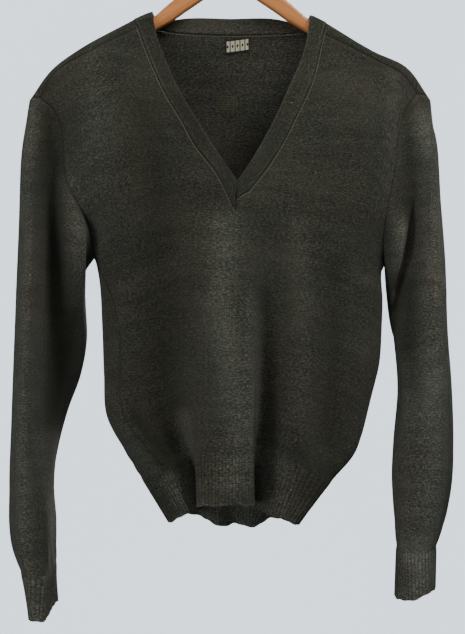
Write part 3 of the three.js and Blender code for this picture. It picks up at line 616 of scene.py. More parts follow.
def sleeve_grid(loop, folds):
    """A sleeve as rings from the armhole to the top of the cuff."""
    rows = fine_rows(SLEEVE_ROWS, FINE_SLEEVE)
    lines = []
    for column, (_, points) in zip(SLEEVE_COLUMNS, folds):
        lines.append(along(np.vstack([loop[column * FINE], points]), rows / SLEEVE_ROWS))
    rings = ring(np.stack(lines))
    keep = smooth(ARMHOLE_FADE - rows, 0, ARMHOLE_FADE)[:, None, None]
    return rings + (loop - rings[0])[None] * keep


def band_edges(front_left, front_right, body, top_left, top_right):
    """The neckband's outer edge on the seams, and its inner edge."""
    arm = ARM_ROWS * FINE
    rows = np.arange(arm, -1, -1) / FINE
    outer = [front_left[:arm + 1, -1][::-1]]
    inner = [along(BAND_LEFT, rows / ARM_ROWS)]
    over = np.arange(1, TOP_ROWS * FINE + 1) / (TOP_ROWS * FINE)
    outer.append(top_left[1:, -1])
    inner.append(along(BAND_OVER_LEFT, over))
    start, end = NECK_FROM * FINE_ACROSS, NECK_TO * FINE_ACROSS
    outer.append(body[0, start + 1:end])
    inner.append(along(BAND_BACK, np.arange(1, end - start) / (end - start)))
    outer.append(top_right[1:, 0][::-1])
    inner.append(along(BAND_OVER_RIGHT, over[::-1]))
    outer.append(front_right[:arm + 1, 0])
    inner.append(along(BAND_RIGHT, rows[::-1] / ARM_ROWS))
    return np.concatenate(outer), np.concatenate(inner)


def lengths_of(points):
    """Length along a list of points, from its start."""
    return np.concatenate([[0], np.cumsum(np.linalg.norm(np.diff(points, axis=0), axis=1))])


def resampled(points, marks, places):
    """A list of points at given places along the marks that go with them."""
    return np.stack([np.interp(places, marks, points[:, axis]) for axis in range(3)], axis=1)


def line_distance(places, line_points):
    """How far points lie from a line of straight stretches, in a plane."""
    nearest = np.full(len(places), np.inf)
    for a, b in zip(line_points[:-1], line_points[1:]):
        a, span = np.array(a, float), np.array(b, float) - np.array(a, float)
        share = np.clip(((places - a) @ span) / (span @ span), 0, 1)
        nearest = np.minimum(nearest, np.linalg.norm(places - a - share[:, None] * span, axis=1))
    return nearest


def soft_folds(points, normals):
    """Rise in millimetres, and painted light and shade, of the listed folds at each point."""
    rise, pale = np.zeros(len(points)), np.zeros(len(points))
    for side, folds in ((-1, FRONT_FOLDS), (1, BACK_FOLDS)):
        facing = smooth(normals[:, 1] * side, 0.05, 0.5)
        for fold_line, width, height, tone in folds:
            share = bell(line_distance(points[:, [0, 2]], fold_line), width) * facing
            rise += height * share
            # Painted light where a fold's tone is above zero, painted shade where it is below
            pale += tone * share
    return rise, pale


def grid_quads(ids, flip=False, closed=False):
    """Quads over a grid of vertex numbers, facing out."""
    ids = np.asarray(ids)
    if closed:
        ids = np.hstack([ids, ids[:, :1]])
    a, b, c, d = ids[:-1, :-1], ids[1:, :-1], ids[1:, 1:], ids[:-1, 1:]
    quads = np.stack([a, b, c, d], axis=-1).reshape(-1, 4)
    return quads[:, ::-1] if flip else quads


def cloth_piece(points, quads, across_mm, down_mm):
    """A cut piece: its points, its faces, each point's place along the knit, and which points
    lie where the knit runs on or ends without a seam."""
    return {"points": points, "quads": quads, "across": across_mm, "down": down_mm,
            "loose": down_mm < 0.5}


def knit_places(grid, centre):
    """How far each point of a grid lies across from a centre column, and up from the last row."""
    steps = np.linalg.norm(np.diff(grid, axis=1), axis=2)
    wide = np.hstack([np.zeros((len(grid), 1)), np.cumsum(steps, axis=1)])
    wide = wide - wide[:, centre:centre + 1]
    rises = np.linalg.norm(np.diff(grid, axis=0), axis=2)
    tall = np.vstack([np.cumsum(rises[::-1], axis=0)[::-1], np.zeros((1, grid.shape[1]))])
    return wide, tall


def open_edges(quads):
    """Edges that one face alone has: both ends, and the face's two other corners."""
    edges = np.concatenate([np.roll(quads, -k, axis=1) for k in range(4)])
    top = int(quads.max()) + 1
    ahead = edges[:, 0].astype(np.int64) * top + edges[:, 1]
    behind = edges[:, 1].astype(np.int64) * top + edges[:, 0]
    return edges[~np.isin(ahead, behind)]


def point_normals(points, quads):
    a, b, c, d = (points[quads[:, k]] for k in range(4))
    face = np.cross(c - a, d - b)
    out = np.zeros_like(points)
    for k in range(4):
        np.add.at(out, quads[:, k], face)
    return unit(out)


def share_normals(pieces, fixed):
    """Gives the pieces that meet at a seam the same normals there."""
    keys = np.concatenate([np.round(piece["points"] * 100).astype(np.int64) for piece in pieces])
    own = np.concatenate([point_normals(piece["points"], piece["quads"]) for piece in pieces])
    _, group = np.unique(keys, axis=0, return_inverse=True)
    group = group.ravel()
    total = np.zeros((group.max() + 1, 3))
    np.add.at(total, group, own)
    joined = unit(total)[group]
    for place, facing in fixed:
        near = np.abs(keys - np.round(np.array(place, float) * 100)).max(axis=1) < 2
        joined[near] = unit(np.array(facing, float))
    start = 0
    for piece in pieces:
        count = len(piece["points"])
        piece["normals"] = joined[start:start + count]
        start += count


def seam_distance(points, edges):
    """How far each point is from the nearest end of an open edge, up to a limit."""
    if not len(edges):
        return np.full(len(points), FAR_FROM_SEAM)
    tree = tree_of(points[np.unique(edges[:, :2])])
    return np.array([min(tree.find(p)[2], FAR_FROM_SEAM) for p in points])


def drawn_in(points, edges):
    """Each open edge moved in by half a seam gap."""
    start, end, *others = (points[edges[:, k]] for k in range(4))
    edge = unit(end - start)
    inward = (sum(others) - start - end) / 2
    inward = unit(inward - edge * (inward * edge).sum(axis=1, keepdims=True))
    pull = np.zeros_like(points)
    for k in range(2):
        np.add.at(pull, edges[:, k], inward)
    return points + np.where(size(pull) > LEAST_PULL, unit(pull), 0) * SEAM_GAP / 2


def mesh_object(name, points, faces, material=None):
    """A smooth mesh object in the scene, from points in millimetres."""
    mesh = bpy.data.meshes.new(name)
    mesh.from_pydata((np.asarray(points) * MM).tolist(), [], faces)
    mesh.update()
    mesh.polygons.foreach_set("use_smooth", np.ones(len(faces), bool))
    if material:
        mesh.materials.append(material)
    obj = bpy.data.objects.new(name, mesh)
    bpy.context.scene.collection.objects.link(obj)
    return obj


def edge_keys(ends, count):
    """One number for each pair of vertex numbers, whichever comes first."""
    return np.sort(ends, axis=1).astype(np.int64) @ np.array([2 * count, 1])


def shell(name, piece, thickness, rise=None):
    """A mesh object of a piece of cloth with its thickness, its open edges closed by a strip."""
    points, quads, normals = piece["points"], piece["quads"], piece["normals"]
    edges = open_edges(quads)
    distance = seam_distance(points, edges)
    loose = piece["loose"][edges[:, 0]] & piece["loose"][edges[:, 1]]
    placed = drawn_in(points, edges)
    rise = rise(piece, distance)[:, None] if rise else np.zeros((len(points), 1))
    count = len(points)
    outer = placed + normals * rise
    inner = placed + normals * (np.minimum(rise, 0) * INNER_SHARE - thickness)
    strips = np.stack([edges[:, 1], edges[:, 0], edges[:, 0] + count, edges[:, 1] + count], axis=1)
    faces = np.concatenate([quads, quads[:, ::-1] + count, strips])
    obj = mesh_object(name, np.concatenate([outer, inner]), faces.tolist())
    mesh = obj.data
    # The pale attribute is painted light and shade: the folds' painted light and shade, each piece's
    # own painted highlights and shade, and painted light on the inside
    pale = soft_folds(points, normals)[1] + piece.get("pale", 0)
    inner_pale = np.full(count, piece.get("inner_pale", INSIDE_PAINTED_LIGHT))
    places = {key: np.tile(piece[key], 2) for key in ("across", "down", "tone") if key in piece}
    places["seam"] = np.tile(seam_distance(points, edges[~loose]), 2)
    places["outside"] = np.repeat([1.0, 0.0], count)
    places["pale"] = np.concatenate([pale, inner_pale])
    for key, values in places.items():
        attribute = mesh.attributes.new(key, "FLOAT", "POINT")
        attribute.data.foreach_set("value", values.astype(np.float32))
    crisp = edges[loose, :2]
    ends = np.zeros(len(mesh.edges) * 2, np.int32)
    mesh.edges.foreach_get("vertices", ends)
    crisp_keys = edge_keys(np.concatenate([crisp, crisp + count]), count)
    sharp = mesh.attributes.new("sharp_edge", "BOOLEAN", "EDGE")
    sharp.data.foreach_set("value", np.isin(edge_keys(ends.reshape(-1, 2), count), crisp_keys))
    mesh.update()
    return obj


def front_piece(left, right):
    """The front as one piece: two halves on one centre column below the V."""
    top = ARM_ROWS * FINE
    left_ids = numbered(left)
    right_ids = np.full(right.shape[:2], -1)
    right_ids[top:, 0] = left_ids[top:, -1]
    own = right_ids < 0
    right_ids[own] = left_ids.size + np.arange(own.sum())
    points = np.concatenate([left.reshape(-1, 3), right[own]])
    quads = np.concatenate([grid_quads(left_ids), grid_quads(right_ids)])
    wide_left, tall_left = knit_places(left, left.shape[1] - 1)
    wide_right, tall_right = knit_places(right, 0)
    gap = np.maximum(right[:, 0, 0] - left[:, -1, 0], 0)[:, None] / 2
    across_mm = np.concatenate([(wide_left - gap).ravel(), (wide_right + gap)[own]])
    down_mm = np.concatenate([tall_left.ravel(), tall_right[own]])
    return cloth_piece(points, quads, across_mm, down_mm)


def back_piece(body, left, right):
    """The back as one piece: its body, and its parts over both shoulders."""
    body_ids = numbered(body)
    left_ids = body_ids.size + numbered(left[:-1])
    right_ids = left_ids.max() + 1 + numbered(right[:-1])
    left_all = np.vstack([left_ids, body_ids[:1, :left.shape[1]]])
    right_all = np.vstack([right_ids, body_ids[:1, -right.shape[1]:]])
    points = np.concatenate([body.reshape(-1, 3), left[:-1].reshape(-1, 3), right[:-1].reshape(-1, 3)])
    quads = np.concatenate([grid_quads(ids, flip=True) for ids in (body_ids, left_all, right_all)])
    wide, tall = knit_places(body, body.shape[1] // 2)
    places = [(wide, tall)]
    for part, columns in ((left, slice(0, left.shape[1])), (right, slice(-right.shape[1], None))):
        own_wide, own_tall = knit_places(part, 0)
        own_wide = own_wide + wide[:1, columns][:, :1]
        own_tall = own_tall + tall[:1, columns]
        places.append((own_wide[:-1], own_tall[:-1]))
    across_mm = np.concatenate([pair[0].ravel() for pair in places])
    down_mm = np.concatenate([pair[1].ravel() for pair in places])
    return cloth_piece(points, quads, across_mm, down_mm)


def grid_piece(grid, wide, tall, flip, closed=False):
    """A cut piece from one grid of points, with the places of its points along the knit."""
    quads = grid_quads(numbered(grid), flip, closed)
    return cloth_piece(grid.reshape(-1, 3), quads, wide.ravel(), tall.ravel())


def rib_wave(count, per_rib):
    """The round of each rib, from 0 in a valley to 1 on a ridge."""
    return 0.5 - 0.5 * np.cos(2 * math.pi * np.arange(count) / per_rib)


def rib_piece(top, low, ribs, closed, flip):
    """Rib below a piece of knit, from its last row to its own lower edge, each rib rounded."""
    per_rib, rows = 6, 12
    if closed:
        top, low = np.vstack([top, top[:1]]), np.vstack([low, low[:1]])
    marks = lengths_of(low)
    places = np.linspace(0, marks[-1], ribs * per_rib + 1)
    wave = rib_wave(len(places), per_rib)
    if closed:
        places, wave = places[:-1], wave[:-1]
    high, deep = resampled(top, marks, places), resampled(low, marks, places)
    turns = 2 * math.pi * places / marks[-1]
    for height, length, start in EDGE_WAVES:
        deep[:, 2] += height * np.sin(turns * round(marks[-1] / length) + start)
    share = np.linspace(0, 1, rows + 1)
    grid = high[None] * (1 - share)[:, None, None] + deep[None] * share[:, None, None]
    tall = np.linalg.norm(high - deep, axis=1)[None] * (1 - share)[:, None]
    piece = grid_piece(grid, np.tile(places, (rows + 1, 1)), tall, flip, closed)
    piece["tone"] = np.tile(wave, rows + 1)
    piece["tall"] = np.tile(tall[0], rows + 1)
    # Painted highlight along the rib's lower edge
    piece["pale"] = 0.5 * bell(piece["down"], 1.6)
    piece["loose"][:] = True
    return piece


def band_piece(outer, inner):
    """Neckband between its two edges, with a low crown and fine ribs across it."""
    rib_pitch, per_rib, rows = 2.9, 4, 8
    marks = lengths_of((outer + inner) / 2)
    count = int(round(marks[-1] / rib_pitch))
    places = np.linspace(0, marks[-1], count * per_rib + 1)
    far, near = resampled(outer, marks, places), resampled(inner, marks, places)
    share = np.linspace(0, 1, rows + 1)
    grid = far[:, None] * (1 - share)[None, :, None] + near[:, None] * share[None, :, None]
    wide = np.linalg.norm(far - near, axis=1)[:, None] * share[None]
    piece = grid_piece(grid, np.tile(places[:, None], (1, rows + 1)), wide, flip=True)
    piece["tone"] = np.repeat(rib_wave(len(places), per_rib), rows + 1)
    piece["share"] = np.tile(share, len(places))
    piece["loose"] = piece["share"] > 0.5
    from_edge = wide.max() * (1 - piece["share"])
    from_tip = np.repeat(np.minimum(places, places[-1] - places), rows + 1)
    # The band's pale attribute: painted highlights along the welt and the inner edge, painted shade
    # down its left side, and darker where its ends meet at the V's tip
    lit_edges = 0.75 * bell(wide.ravel() - WELT_AT, 1.3) + 0.45 * bell(from_edge, 1.6)
    shaded_side = 0.22 * smooth(-piece["points"][:, 0], 10, 40)
    piece["pale"] = lit_edges - 0.7 * bell(from_tip, 1.0) - shaded_side
    return piece


def follow_seam(band, others):
    """Gives the band the facing of the cloth that it is sewn to, along its outer edge."""
    points = np.concatenate([piece["points"] for piece in others])
    normals = np.concatenate([piece["normals"] for piece in others])
    tree = tree_of(points)
    for i in np.flatnonzero(band["share"] < 0.01):
        band["normals"][i] = normals[tree.find(band["points"][i])[1]]


def cut_cloth():
    """Every piece of the cloth in the place where it hangs, with shared normals at the seams, and
    the outer and inner edge of the neckband."""
    left, right = front_grids()
    body, over_left, over_right = back_grids()
    loop_left = armhole(left[:, 0], over_left[:, 0], body[:, 0])
    loop_right = armhole(right[:, -1], over_right[:, -1], body[:, -1])
    arm_left = sleeve_grid(loop_left, LEFT_SLEEVE)
    arm_right = sleeve_grid(loop_right, RIGHT_SLEEVE)
    outer, inner = band_edges(left, right, body, over_left, over_right)
    front_folds = np.stack([fold["hem"] for fold in FRONT_LEFT + FRONT_RIGHT[1:]])[:, None]
    back_folds = np.stack([fold["hem"] for fold in BACK])[:, None]
    low_front = across(front_folds, FRONT_LEFT_STEPS + FRONT_RIGHT_STEPS,
                       back_folds[1], back_folds[-2])[0]
    low_back = across(back_folds, BACK_STEPS, front_folds[1], front_folds[-2])[0]
    cuff_left, cuff_right = (ring(np.array([[cuff] for cuff, _ in sleeve], float))[0]
                             for sleeve in (LEFT_SLEEVE, RIGHT_SLEEVE))
    top_front = np.concatenate([left[-1], right[-1, 1:]])
    pieces = {
        "front": front_piece(left, right),
        "back": back_piece(body, over_left, over_right),
        "sleeve_left": grid_piece(arm_left, *knit_places(arm_left, 0), False, closed=True),
        "sleeve_right": grid_piece(arm_right, *knit_places(arm_right, 0), True, closed=True),
        "neckband": band_piece(outer, inner),
        "hem_front": rib_piece(top_front, low_front, HEM_FRONT_RIBS, False, False),
        "hem_back": rib_piece(body[-1], low_back, HEM_BACK_RIBS, False, True),
        "cuff_left": rib_piece(arm_left[-1], cuff_left, CUFF_RIBS, True, False),
        "cuff_right": rib_piece(arm_right[-1], cuff_right, CUFF_RIBS, True, True),
    }
    underarms = [(SIDE_LEFT[0], (-0.2, -0.1, -1)), (SIDE_RIGHT[0], (0.2, -0.1, -1))]
    share_normals(list(pieces.values()), underarms)
    follow_seam(pieces["neckband"], [pieces["front"], pieces["back"]])
    return pieces, outer, inner


class Graph:
    """Short forms for placing and joining shader nodes."""

    def __init__(self, tree):
        self.tree = tree

    def add(self, kind, **values):
        node = self.tree.nodes.new(kind)
        for key, value in values.items():
            setattr(node, key, value)
        return node

    def put(self, socket, value):
        if isinstance(value, bpy.types.NodeSocket):
            self.tree.links.new(value, socket)
        else:
            socket.default_value = value

    def join(self, node, *values, **named):
        """Sets a node's sockets, in their order and by their names."""
        for socket, value in zip(node.inputs, values):
            self.put(socket, value)
        for key, value in named.items():
            self.put(node.inputs[key.replace("_", " ")], value)
        return node

    def math(self, operation, *values):
        return self.join(self.add("ShaderNodeMath", operation=operation), *values).outputs[0]

    # Each of these is math with its operation given
    plus = partialmethod(math, "ADD")
    less = partialmethod(math, "SUBTRACT")
    times = partialmethod(math, "MULTIPLY")
    over = partialmethod(math, "DIVIDE")
    scaled = partialmethod(math, "MULTIPLY_ADD")
    absolute = partialmethod(math, "ABSOLUTE")

    def mix(self, factor, a, b, blend="MIX"):
        node = self.add("ShaderNodeMix", data_type="RGBA", blend_type=blend)
        for socket, value in ((0, factor), (6, a), (7, b)):
            self.put(node.inputs[socket], value)
        return node.outputs[2]

    def vector(self, *values):
        return self.join(self.add("ShaderNodeCombineXYZ"), *values).outputs[0]

    def object_place(self):
        return self.add("ShaderNodeTexCoord").outputs["Object"]

    def noise(self, vector, scale=1.0, detail=2.0, roughness=0.5):
        node = self.add("ShaderNodeTexNoise")
        self.join(node, Vector=vector, Scale=scale, Detail=detail, Roughness=roughness)
        return node.outputs["Fac"]

    def spread(self, value, low, high, to_low=0.0, to_high=1.0):
        node = self.add("ShaderNodeMapRange", interpolation_type="SMOOTHSTEP")
        return self.join(node, value, low, high, to_low, to_high).outputs[0]

    def attribute(self, name):
        return self.add("ShaderNodeAttribute", attribute_name=name).outputs["Fac"]

    def group(self, tree, **values):
        return self.join(self.add("ShaderNodeGroup", node_tree=tree), **values)

    def bump(self, height, strength, distance, **normal):
        node = self.add("ShaderNodeBump")
        self.join(node, Height=height, Strength=strength, Distance=distance, **normal)
        return node.outputs["Normal"]


def new_group(name, inputs, outputs):
    """An empty shader group, from its inputs and their defaults, and the names of its outputs."""
    tree = bpy.data.node_groups.new(name, "ShaderNodeTree")
    for key, value in inputs.items():
        kind = "NodeSocketColor" if isinstance(value, tuple) else "NodeSocketFloat"
        socket = tree.interface.new_socket(key, in_out="INPUT", socket_type=kind)
        socket.default_value = value
    for key in outputs:
        kind = "NodeSocketColor" if key == "Color" else "NodeSocketFloat"
        tree.interface.new_socket(key, in_out="OUTPUT", socket_type=kind)
    graph = Graph(tree)
    return tree, graph, graph.add("NodeGroupInput").outputs, graph.add("NodeGroupOutput").inputs


def stitch_group():
    """Height of plain knit: two slanted legs to a stitch, in wales and courses."""
    inputs = {"Across": 0.0, "Down": 0.0, "Wale": 1.9, "Course": 1.35, "Wander": 0.35}
    tree, g, given, out = new_group("knit_stitches", inputs, ["Height", "Hollow"])
    drift = g.noise(g.vector(g.times(given["Across"], 0.02), g.times(given["Down"], 0.03)))
    across_mm = g.scaled(g.less(drift, 0.5), g.times(given["Wander"], 8.0), given["Across"])
    place = g.math("FRACT", g.over(across_mm, given["Wale"]))
    side = g.absolute(g.scaled(place, 2.0, -1.0))
    leg = g.less(1.0, g.absolute(g.scaled(side, 2.0, -1.0)))
    slant = g.math("FRACT", g.scaled(side, 0.9, g.over(given["Down"], given["Course"])))
    loop = g.less(1.0, g.math("POWER", g.absolute(g.scaled(slant, 2.0, -1.0)), 2.0))
    height = g.times(g.math("POWER", leg, 0.6), g.scaled(loop, 0.5, 0.5))
    g.put(out["Height"], height)
    # Hollow: a mask of the hollows between the stitches, for painted shade in the material
    g.put(out["Hollow"], g.spread(height, 0.5, 0.05))
    return tree


def marl_group():
    """Colour of marl yarn: short streaks along the courses, specks, and slow drifts of dye."""
    inputs = {"Across": 0.0, "Down": 0.0, "Dark": (0.02, 0.02, 0.015, 1.0),
              "Mid": (0.04, 0.036, 0.025, 1.0), "Warm": (0.06, 0.04, 0.02, 1.0),
              "Cool": (0.04, 0.05, 0.03, 1.0), "Light": (0.08, 0.08, 0.07, 1.0), "Streak": 5.0,
              "Course": 1.35}
    tree, g, given, out = new_group("marl_yarn", inputs, ["Color"])
    row = g.over(given["Down"], given["Course"])
    length = g.over(given["Across"], given["Streak"])

    def streaks(long, tall, start, detail=2.0, roughness=0.5, run=length):
        """Noise stretched along the courses; each layer starts at a depth of its own."""
        place = g.vector(g.times(run, long), g.times(row, tall), start)
        return g.noise(place, 1.0, detail, roughness)

    fine = streaks(1.0, 0.9, 0.0, 3.0, 0.65)
    warm = streaks(0.35, 0.3, 7.3)
    cool = streaks(0.3, 0.22, 23.1)
    band = streaks(0.05, 0.13, 3.1)
    speck = streaks(0.75, 0.95, 5.7, 1.0, run=given["Across"])
    fleck = streaks(1.25, 0.8, 41.0, 2.0, 0.7)
    colour = g.mix(g.spread(fine, 0.36, 0.6), given["Dark"], given["Mid"])
    colour = g.mix(g.times(g.spread(warm, 0.46, 0.62), 0.7), colour, given["Warm"])
    colour = g.mix(g.times(g.spread(cool, 0.5, 0.64), 0.7), colour, given["Cool"])
    lift = g.times(g.spread(speck, 0.5, 0.66), g.spread(fine, 0.4, 0.6, 0.35, 1.0))
    colour = g.mix(lift, colour, given["Light"])
    level = g.times(g.spread(band, 0.35, 0.65, 0.88, 1.12), g.spread(fleck, 0.36, 0.64, 0.5, 1.55))
    colour = g.mix(1.0, colour, g.vector(level, level, level), blend="MULTIPLY")
    drift = g.noise(g.vector(g.over(given["Across"], 62.0), g.over(given["Down"], 84.0), 9.4))
    tint = g.mix(g.spread(drift, 0.38, 0.62), (1.05, 1.0, 0.95, 1.0), (0.96, 1.0, 0.98, 1.0))
    g.put(out["Color"], g.mix(1.0, colour, tint, blend="MULTIPLY"))
    return tree


def wear_group():
    """Rubbed and pilled knit: slow cloudy lightening, and small soft pills."""
    tree, g, given, out = new_group("wool_wear", {"Amount": 0.3, "Pills": 0.3}, ["Rub", "Pill"])
    place = g.object_place()
    clouds = g.noise(place, 14.0, 3.0)
    g.put(out["Rub"], g.times(g.spread(clouds, 0.4, 0.75), given["Amount"]))
    cells = g.join(g.add("ShaderNodeTexVoronoi", feature="F1"), Vector=place, Scale=190.0)
    dot = g.spread(cells.outputs["Distance"], 0.28, 0.1)
    g.put(out["Pill"], g.times(dot, g.times(g.spread(clouds, 0.45, 0.7), given["Pills"])))
    return tree


def srgb(red, green, blue):
    """A linear colour from 0-255 display values."""
    out = []
    for value in (red, green, blue):
        v = value / 255
        out.append(v / 12.92 if v <= 0.04045 else ((v + 0.055) / 1.055) ** 2.4)
    return (*out, 1.0)


def new_material(name, roughness, **constants):
    material = bpy.data.materials.new(name)
    material.use_nodes = True
    g = Graph(material.node_tree)
    shader = g.tree.nodes["Principled BSDF"]
    return material, g, g.join(shader, Roughness=roughness, **constants).inputs


def tinted(colour, *levels):
    """A colour with its channels multiplied, by one level or by one each."""
    levels = levels * 3 if len(levels) == 1 else levels
    return (*[min(channel * level, 1.0) for channel, level in zip(colour, levels)], 1.0)


def yarn_colours(options, lift):
    yarn = [channel * lift for channel in options.yarn]
    return {"Dark": tinted(yarn, 0.42, 0.42, 0.46), "Mid": tinted(yarn, 1.0),
            "Warm": tinted(yarn, 1.12, 1.0, 0.9), "Cool": tinted(yarn, 0.8, 1.08, 0.92),
            "Light": tinted(yarn, 1.95, 2.05, 2.1)}


def wool_material(name, groups, options, lift=1.0, ribbed=False):
    """Marl wool: knitted relief, streaked yarn, wear, and a groove beside each seam; painted shade in
    the stitch hollows, the grooves and the rib valleys, and the painted light and shade of the folds,
    the edges and the inside.
    """
    material, g, inputs = new_material(name, 0.93, Specular_IOR_Level=0.25,
                                       Sheen_Weight=options.sheen, Sheen_Roughness=0.45,
                                       Sheen_Tint=(0.85, 0.85, 0.78, 1.0))
    places = {"Across": g.attribute("across"), "Down": g.attribute("down"),
              "Course": options.course}
    marl = g.group(groups["marl"], Streak=options.streak, **places, **yarn_colours(options, lift))
    knit = g.group(groups["stitches"], Wale=options.wale, **places)
    wear = g.group(groups["wear"], Amount=options.wear, Pills=0.5)
    # Painted shade in the hollows between the stitches
    colour = g.mix(g.times(knit.outputs["Hollow"], 0.7), marl.outputs["Color"], HOLLOW_SHADE_COLOUR)
    colour = g.mix(wear.outputs["Rub"], colour, tinted(options.yarn, 2.2 * lift))
    colour = g.mix(g.times(wear.outputs["Pill"], 0.5), colour, tinted(options.yarn, 2.6))
    # Painted light and shade: the pale attribute lightens or darkens the colour, a little bluer where
    # lighter
    fold = g.plus(g.attribute("pale"), 1.0)
    painted_light_blue = g.scaled(g.attribute("pale"), 1.18, 1.0)
    colour = g.mix(1.0, colour, g.vector(fold, fold, painted_light_blue), blend="MULTIPLY")
    # Beside each seam a groove: a bump inward, and painted shade in it
    groove = g.spread(g.attribute("seam"), 0.0, 2.2)
    colour = g.mix(g.scaled(groove, -0.2, 0.2), colour, SHADE_COLOUR)
    if ribbed:
        # Painted shade in the valleys between the ribs
        valley = g.spread(g.attribute("tone"), 0.45, 0.0)
        colour = g.mix(g.times(valley, 0.42), colour, SHADE_COLOUR)
    inside = g.less(1.0, g.attribute("outside"))
    colour = g.mix(g.times(inside, options.inside_dark), colour, INSIDE_COLOUR)
    g.put(inputs["Base Color"], colour)
    relief = g.plus(knit.outputs["Height"], g.times(wear.outputs["Pill"], 0.8))
    knitted = g.bump(relief, 1.0, RELIEF * MM)
    g.put(inputs["Normal"], g.bump(groove, 1.0, RELIEF * MM, Normal=knitted))
    return material


def colour_option(name, description, colour):
    return FloatVectorProperty(name=name, description=description, subtype="COLOR", size=3, min=0,
                               max=1, default=colour[:3])


def number_option(name, description, default, low=0, high=1, **kind):
    return FloatProperty(name=name, description=description, default=default, min=low, max=high,
                         **kind)


class JumperClothOptions(bpy.types.PropertyGroup):
    yarn: colour_option("Yarn colour", "Mean colour of the marl yarn", srgb(54, 53, 45))
    streak: number_option(
        "Streak length", "Length of a colour streak along a course, in millimetres", 4.6, 1, 60)
    wale: number_option(
        "Wale width", "Width of a column of stitches, in millimetres", 1.9, 0.5, 10)
    course: number_option(
        "Course height", "Height of a row of stitches, in millimetres", 1.35, 0.5, 10)
    sheen: number_option(
        "Fuzz", "Strength of the soft light caught by loose fibres", 0.08, subtype="FACTOR")
    wear: number_option("Wear", "How far rubbed areas are lightened", 0.22, subtype="FACTOR")
    inside_dark: number_option(
        "Inside shade", "How much darker the wrong side of the knit is", 0.12, subtype="FACTOR")
    gather: number_option(
        "Gather", "Height of the ripples where the ribs draw the knit in, in millimetres", 0.9, 0, 5)


class JumperFinishOptions(bpy.types.PropertyGroup):
    wood: colour_option("Wood colour", "Mean colour of the hanger's wood", srgb(190, 119, 64))
    thread: colour_option(
        "Thread colour", "Colour of the sewing along the neckband", srgb(112, 108, 88))
    stitch: number_option("Stitch length", "Length of one sewing stitch, in millimetres", 3.4, 1, 20)
    label_ground: colour_option("Label ground", "Colour of the woven label", srgb(30, 29, 25))


class JumperStageOptions(bpy.types.PropertyGroup):
    backdrop: colour_option(
        "Backdrop colour", "Colour of the plain surroundings", srgb(204, 217, 224))
    backdrop_level: number_option(
        "Backdrop level", "Brightness of the plain surroundings", 2.5, 0, 10)
    key: number_option(
        "Key light", "Power of the main soft light, in watts", 39, 0, 2000, unit="POWER")
    fill: number_option(
        "Fill light", "Power of the opposite soft light, in watts", 22, 0, 2000, unit="POWER")
    ambient: number_option("Ambient light", "Strength of the light from all round", 0.2, 0, 5)
    lens: number_option("Lens", "Focal length of the camera, in millimetres", 94.6, 10, 300)


_made = {}


def shared(key, build):
    """Something that is built once and used by several pieces."""
    if key not in _made:
        _made[key] = build()
    return _made[key]


def groups():
    return shared("groups", lambda: {
        "stitches": stitch_group(), "marl": marl_group(), "wear": wear_group()})


def cloth():
    return shared("cloth", cut_cloth)


def knit_wool(options):
    return shared("knit", lambda: wool_material("marl_knit", groups(), options))


def rib_wool(options):
    return shared("rib", lambda: wool_material(
        "marl_rib", groups(), options, lift=RIB_LIFT, ribbed=True))


def gathered(options, share):
    """Rise of a knit piece: small ripples above its rib, and the roll of each seam."""
    def rise(piece, distance):
        down, wide = piece["down"], piece["across"]
        wander = RIPPLE_WANDER * np.sin(wide / RIPPLE_WANDER_LENGTH)
        ripple = np.sin(wide * 2 * math.pi / RIPPLE_LENGTH + wander) * np.exp(-down / RIPPLE_REACH)
        out = options.gather * ripple * smooth(down, 0, RIPPLE_START) * share
        out = out + soft_folds(piece["points"], piece["normals"])[0]
        return out * smooth(distance, 0, SEAM_ROLL)
    return rise


def dressed(kind, node, thickness, rise, material):
    """Builds a piece of cloth, gives it its material, hangs it on the root body and hides its solid
    part.
    """
    obj = shell(f"{node}_{kind}", cloth()[0][node], thickness, rise)
    obj.data.materials.append(material)
    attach(obj, "root")
    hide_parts(node)


class JUMPER_OT_panels(bpy.types.Operator):
    """Builds the front and the back"""
    bl_idname = "jumper.panels"
    bl_label = "Front and back"

    def execute(self, context):
        options = context.scene.jumper_cloth
        rise = gathered(options, 1.0)
        for node, flat, area in (("front", (0.45, 0.52), 0.165), ("back", (0.48, 0.60), 0.225)):
            dressed("knit", node, KNIT, rise, knit_wool(options))
        return {"FINISHED"}


class JUMPER_OT_sleeves(bpy.types.Operator):
    """Builds both sleeves"""
    bl_idname = "jumper.sleeves"
    bl_label = "Sleeves"

    def execute(self, context):
        options = context.scene.jumper_cloth
        for node in ("sleeve_left", "sleeve_right"):
            dressed("knit", node, KNIT, gathered(options, 0.8), knit_wool(options))
        return {"FINISHED"}


class JUMPER_OT_ribs(bpy.types.Operator):
    """Builds the ribs of the hem and the cuffs"""
    bl_idname = "jumper.ribs"
    bl_label = "Hem and cuffs"

    def execute(self, context):
        options = context.scene.jumper_cloth

        def rise(piece, distance):
            return RIB_RISE * piece["tone"] * smooth(piece["tall"] - piece["down"], -4, 7)

        flats = {"hem_front": (0.33, 0.066), "hem_back": (0.30, 0.062),
                 "cuff_left": (0.18, 0.06), "cuff_right": (0.18, 0.06)}
        # Stronger painted light on the shaded inside of the back hem
        cloth()[0]["hem_back"]["inner_pale"] = HEM_INSIDE_PAINTED_LIGHT
        for node, flat in flats.items():
            dressed("rib", node, RIB, rise, rib_wool(options))
        return {"FINISHED"}


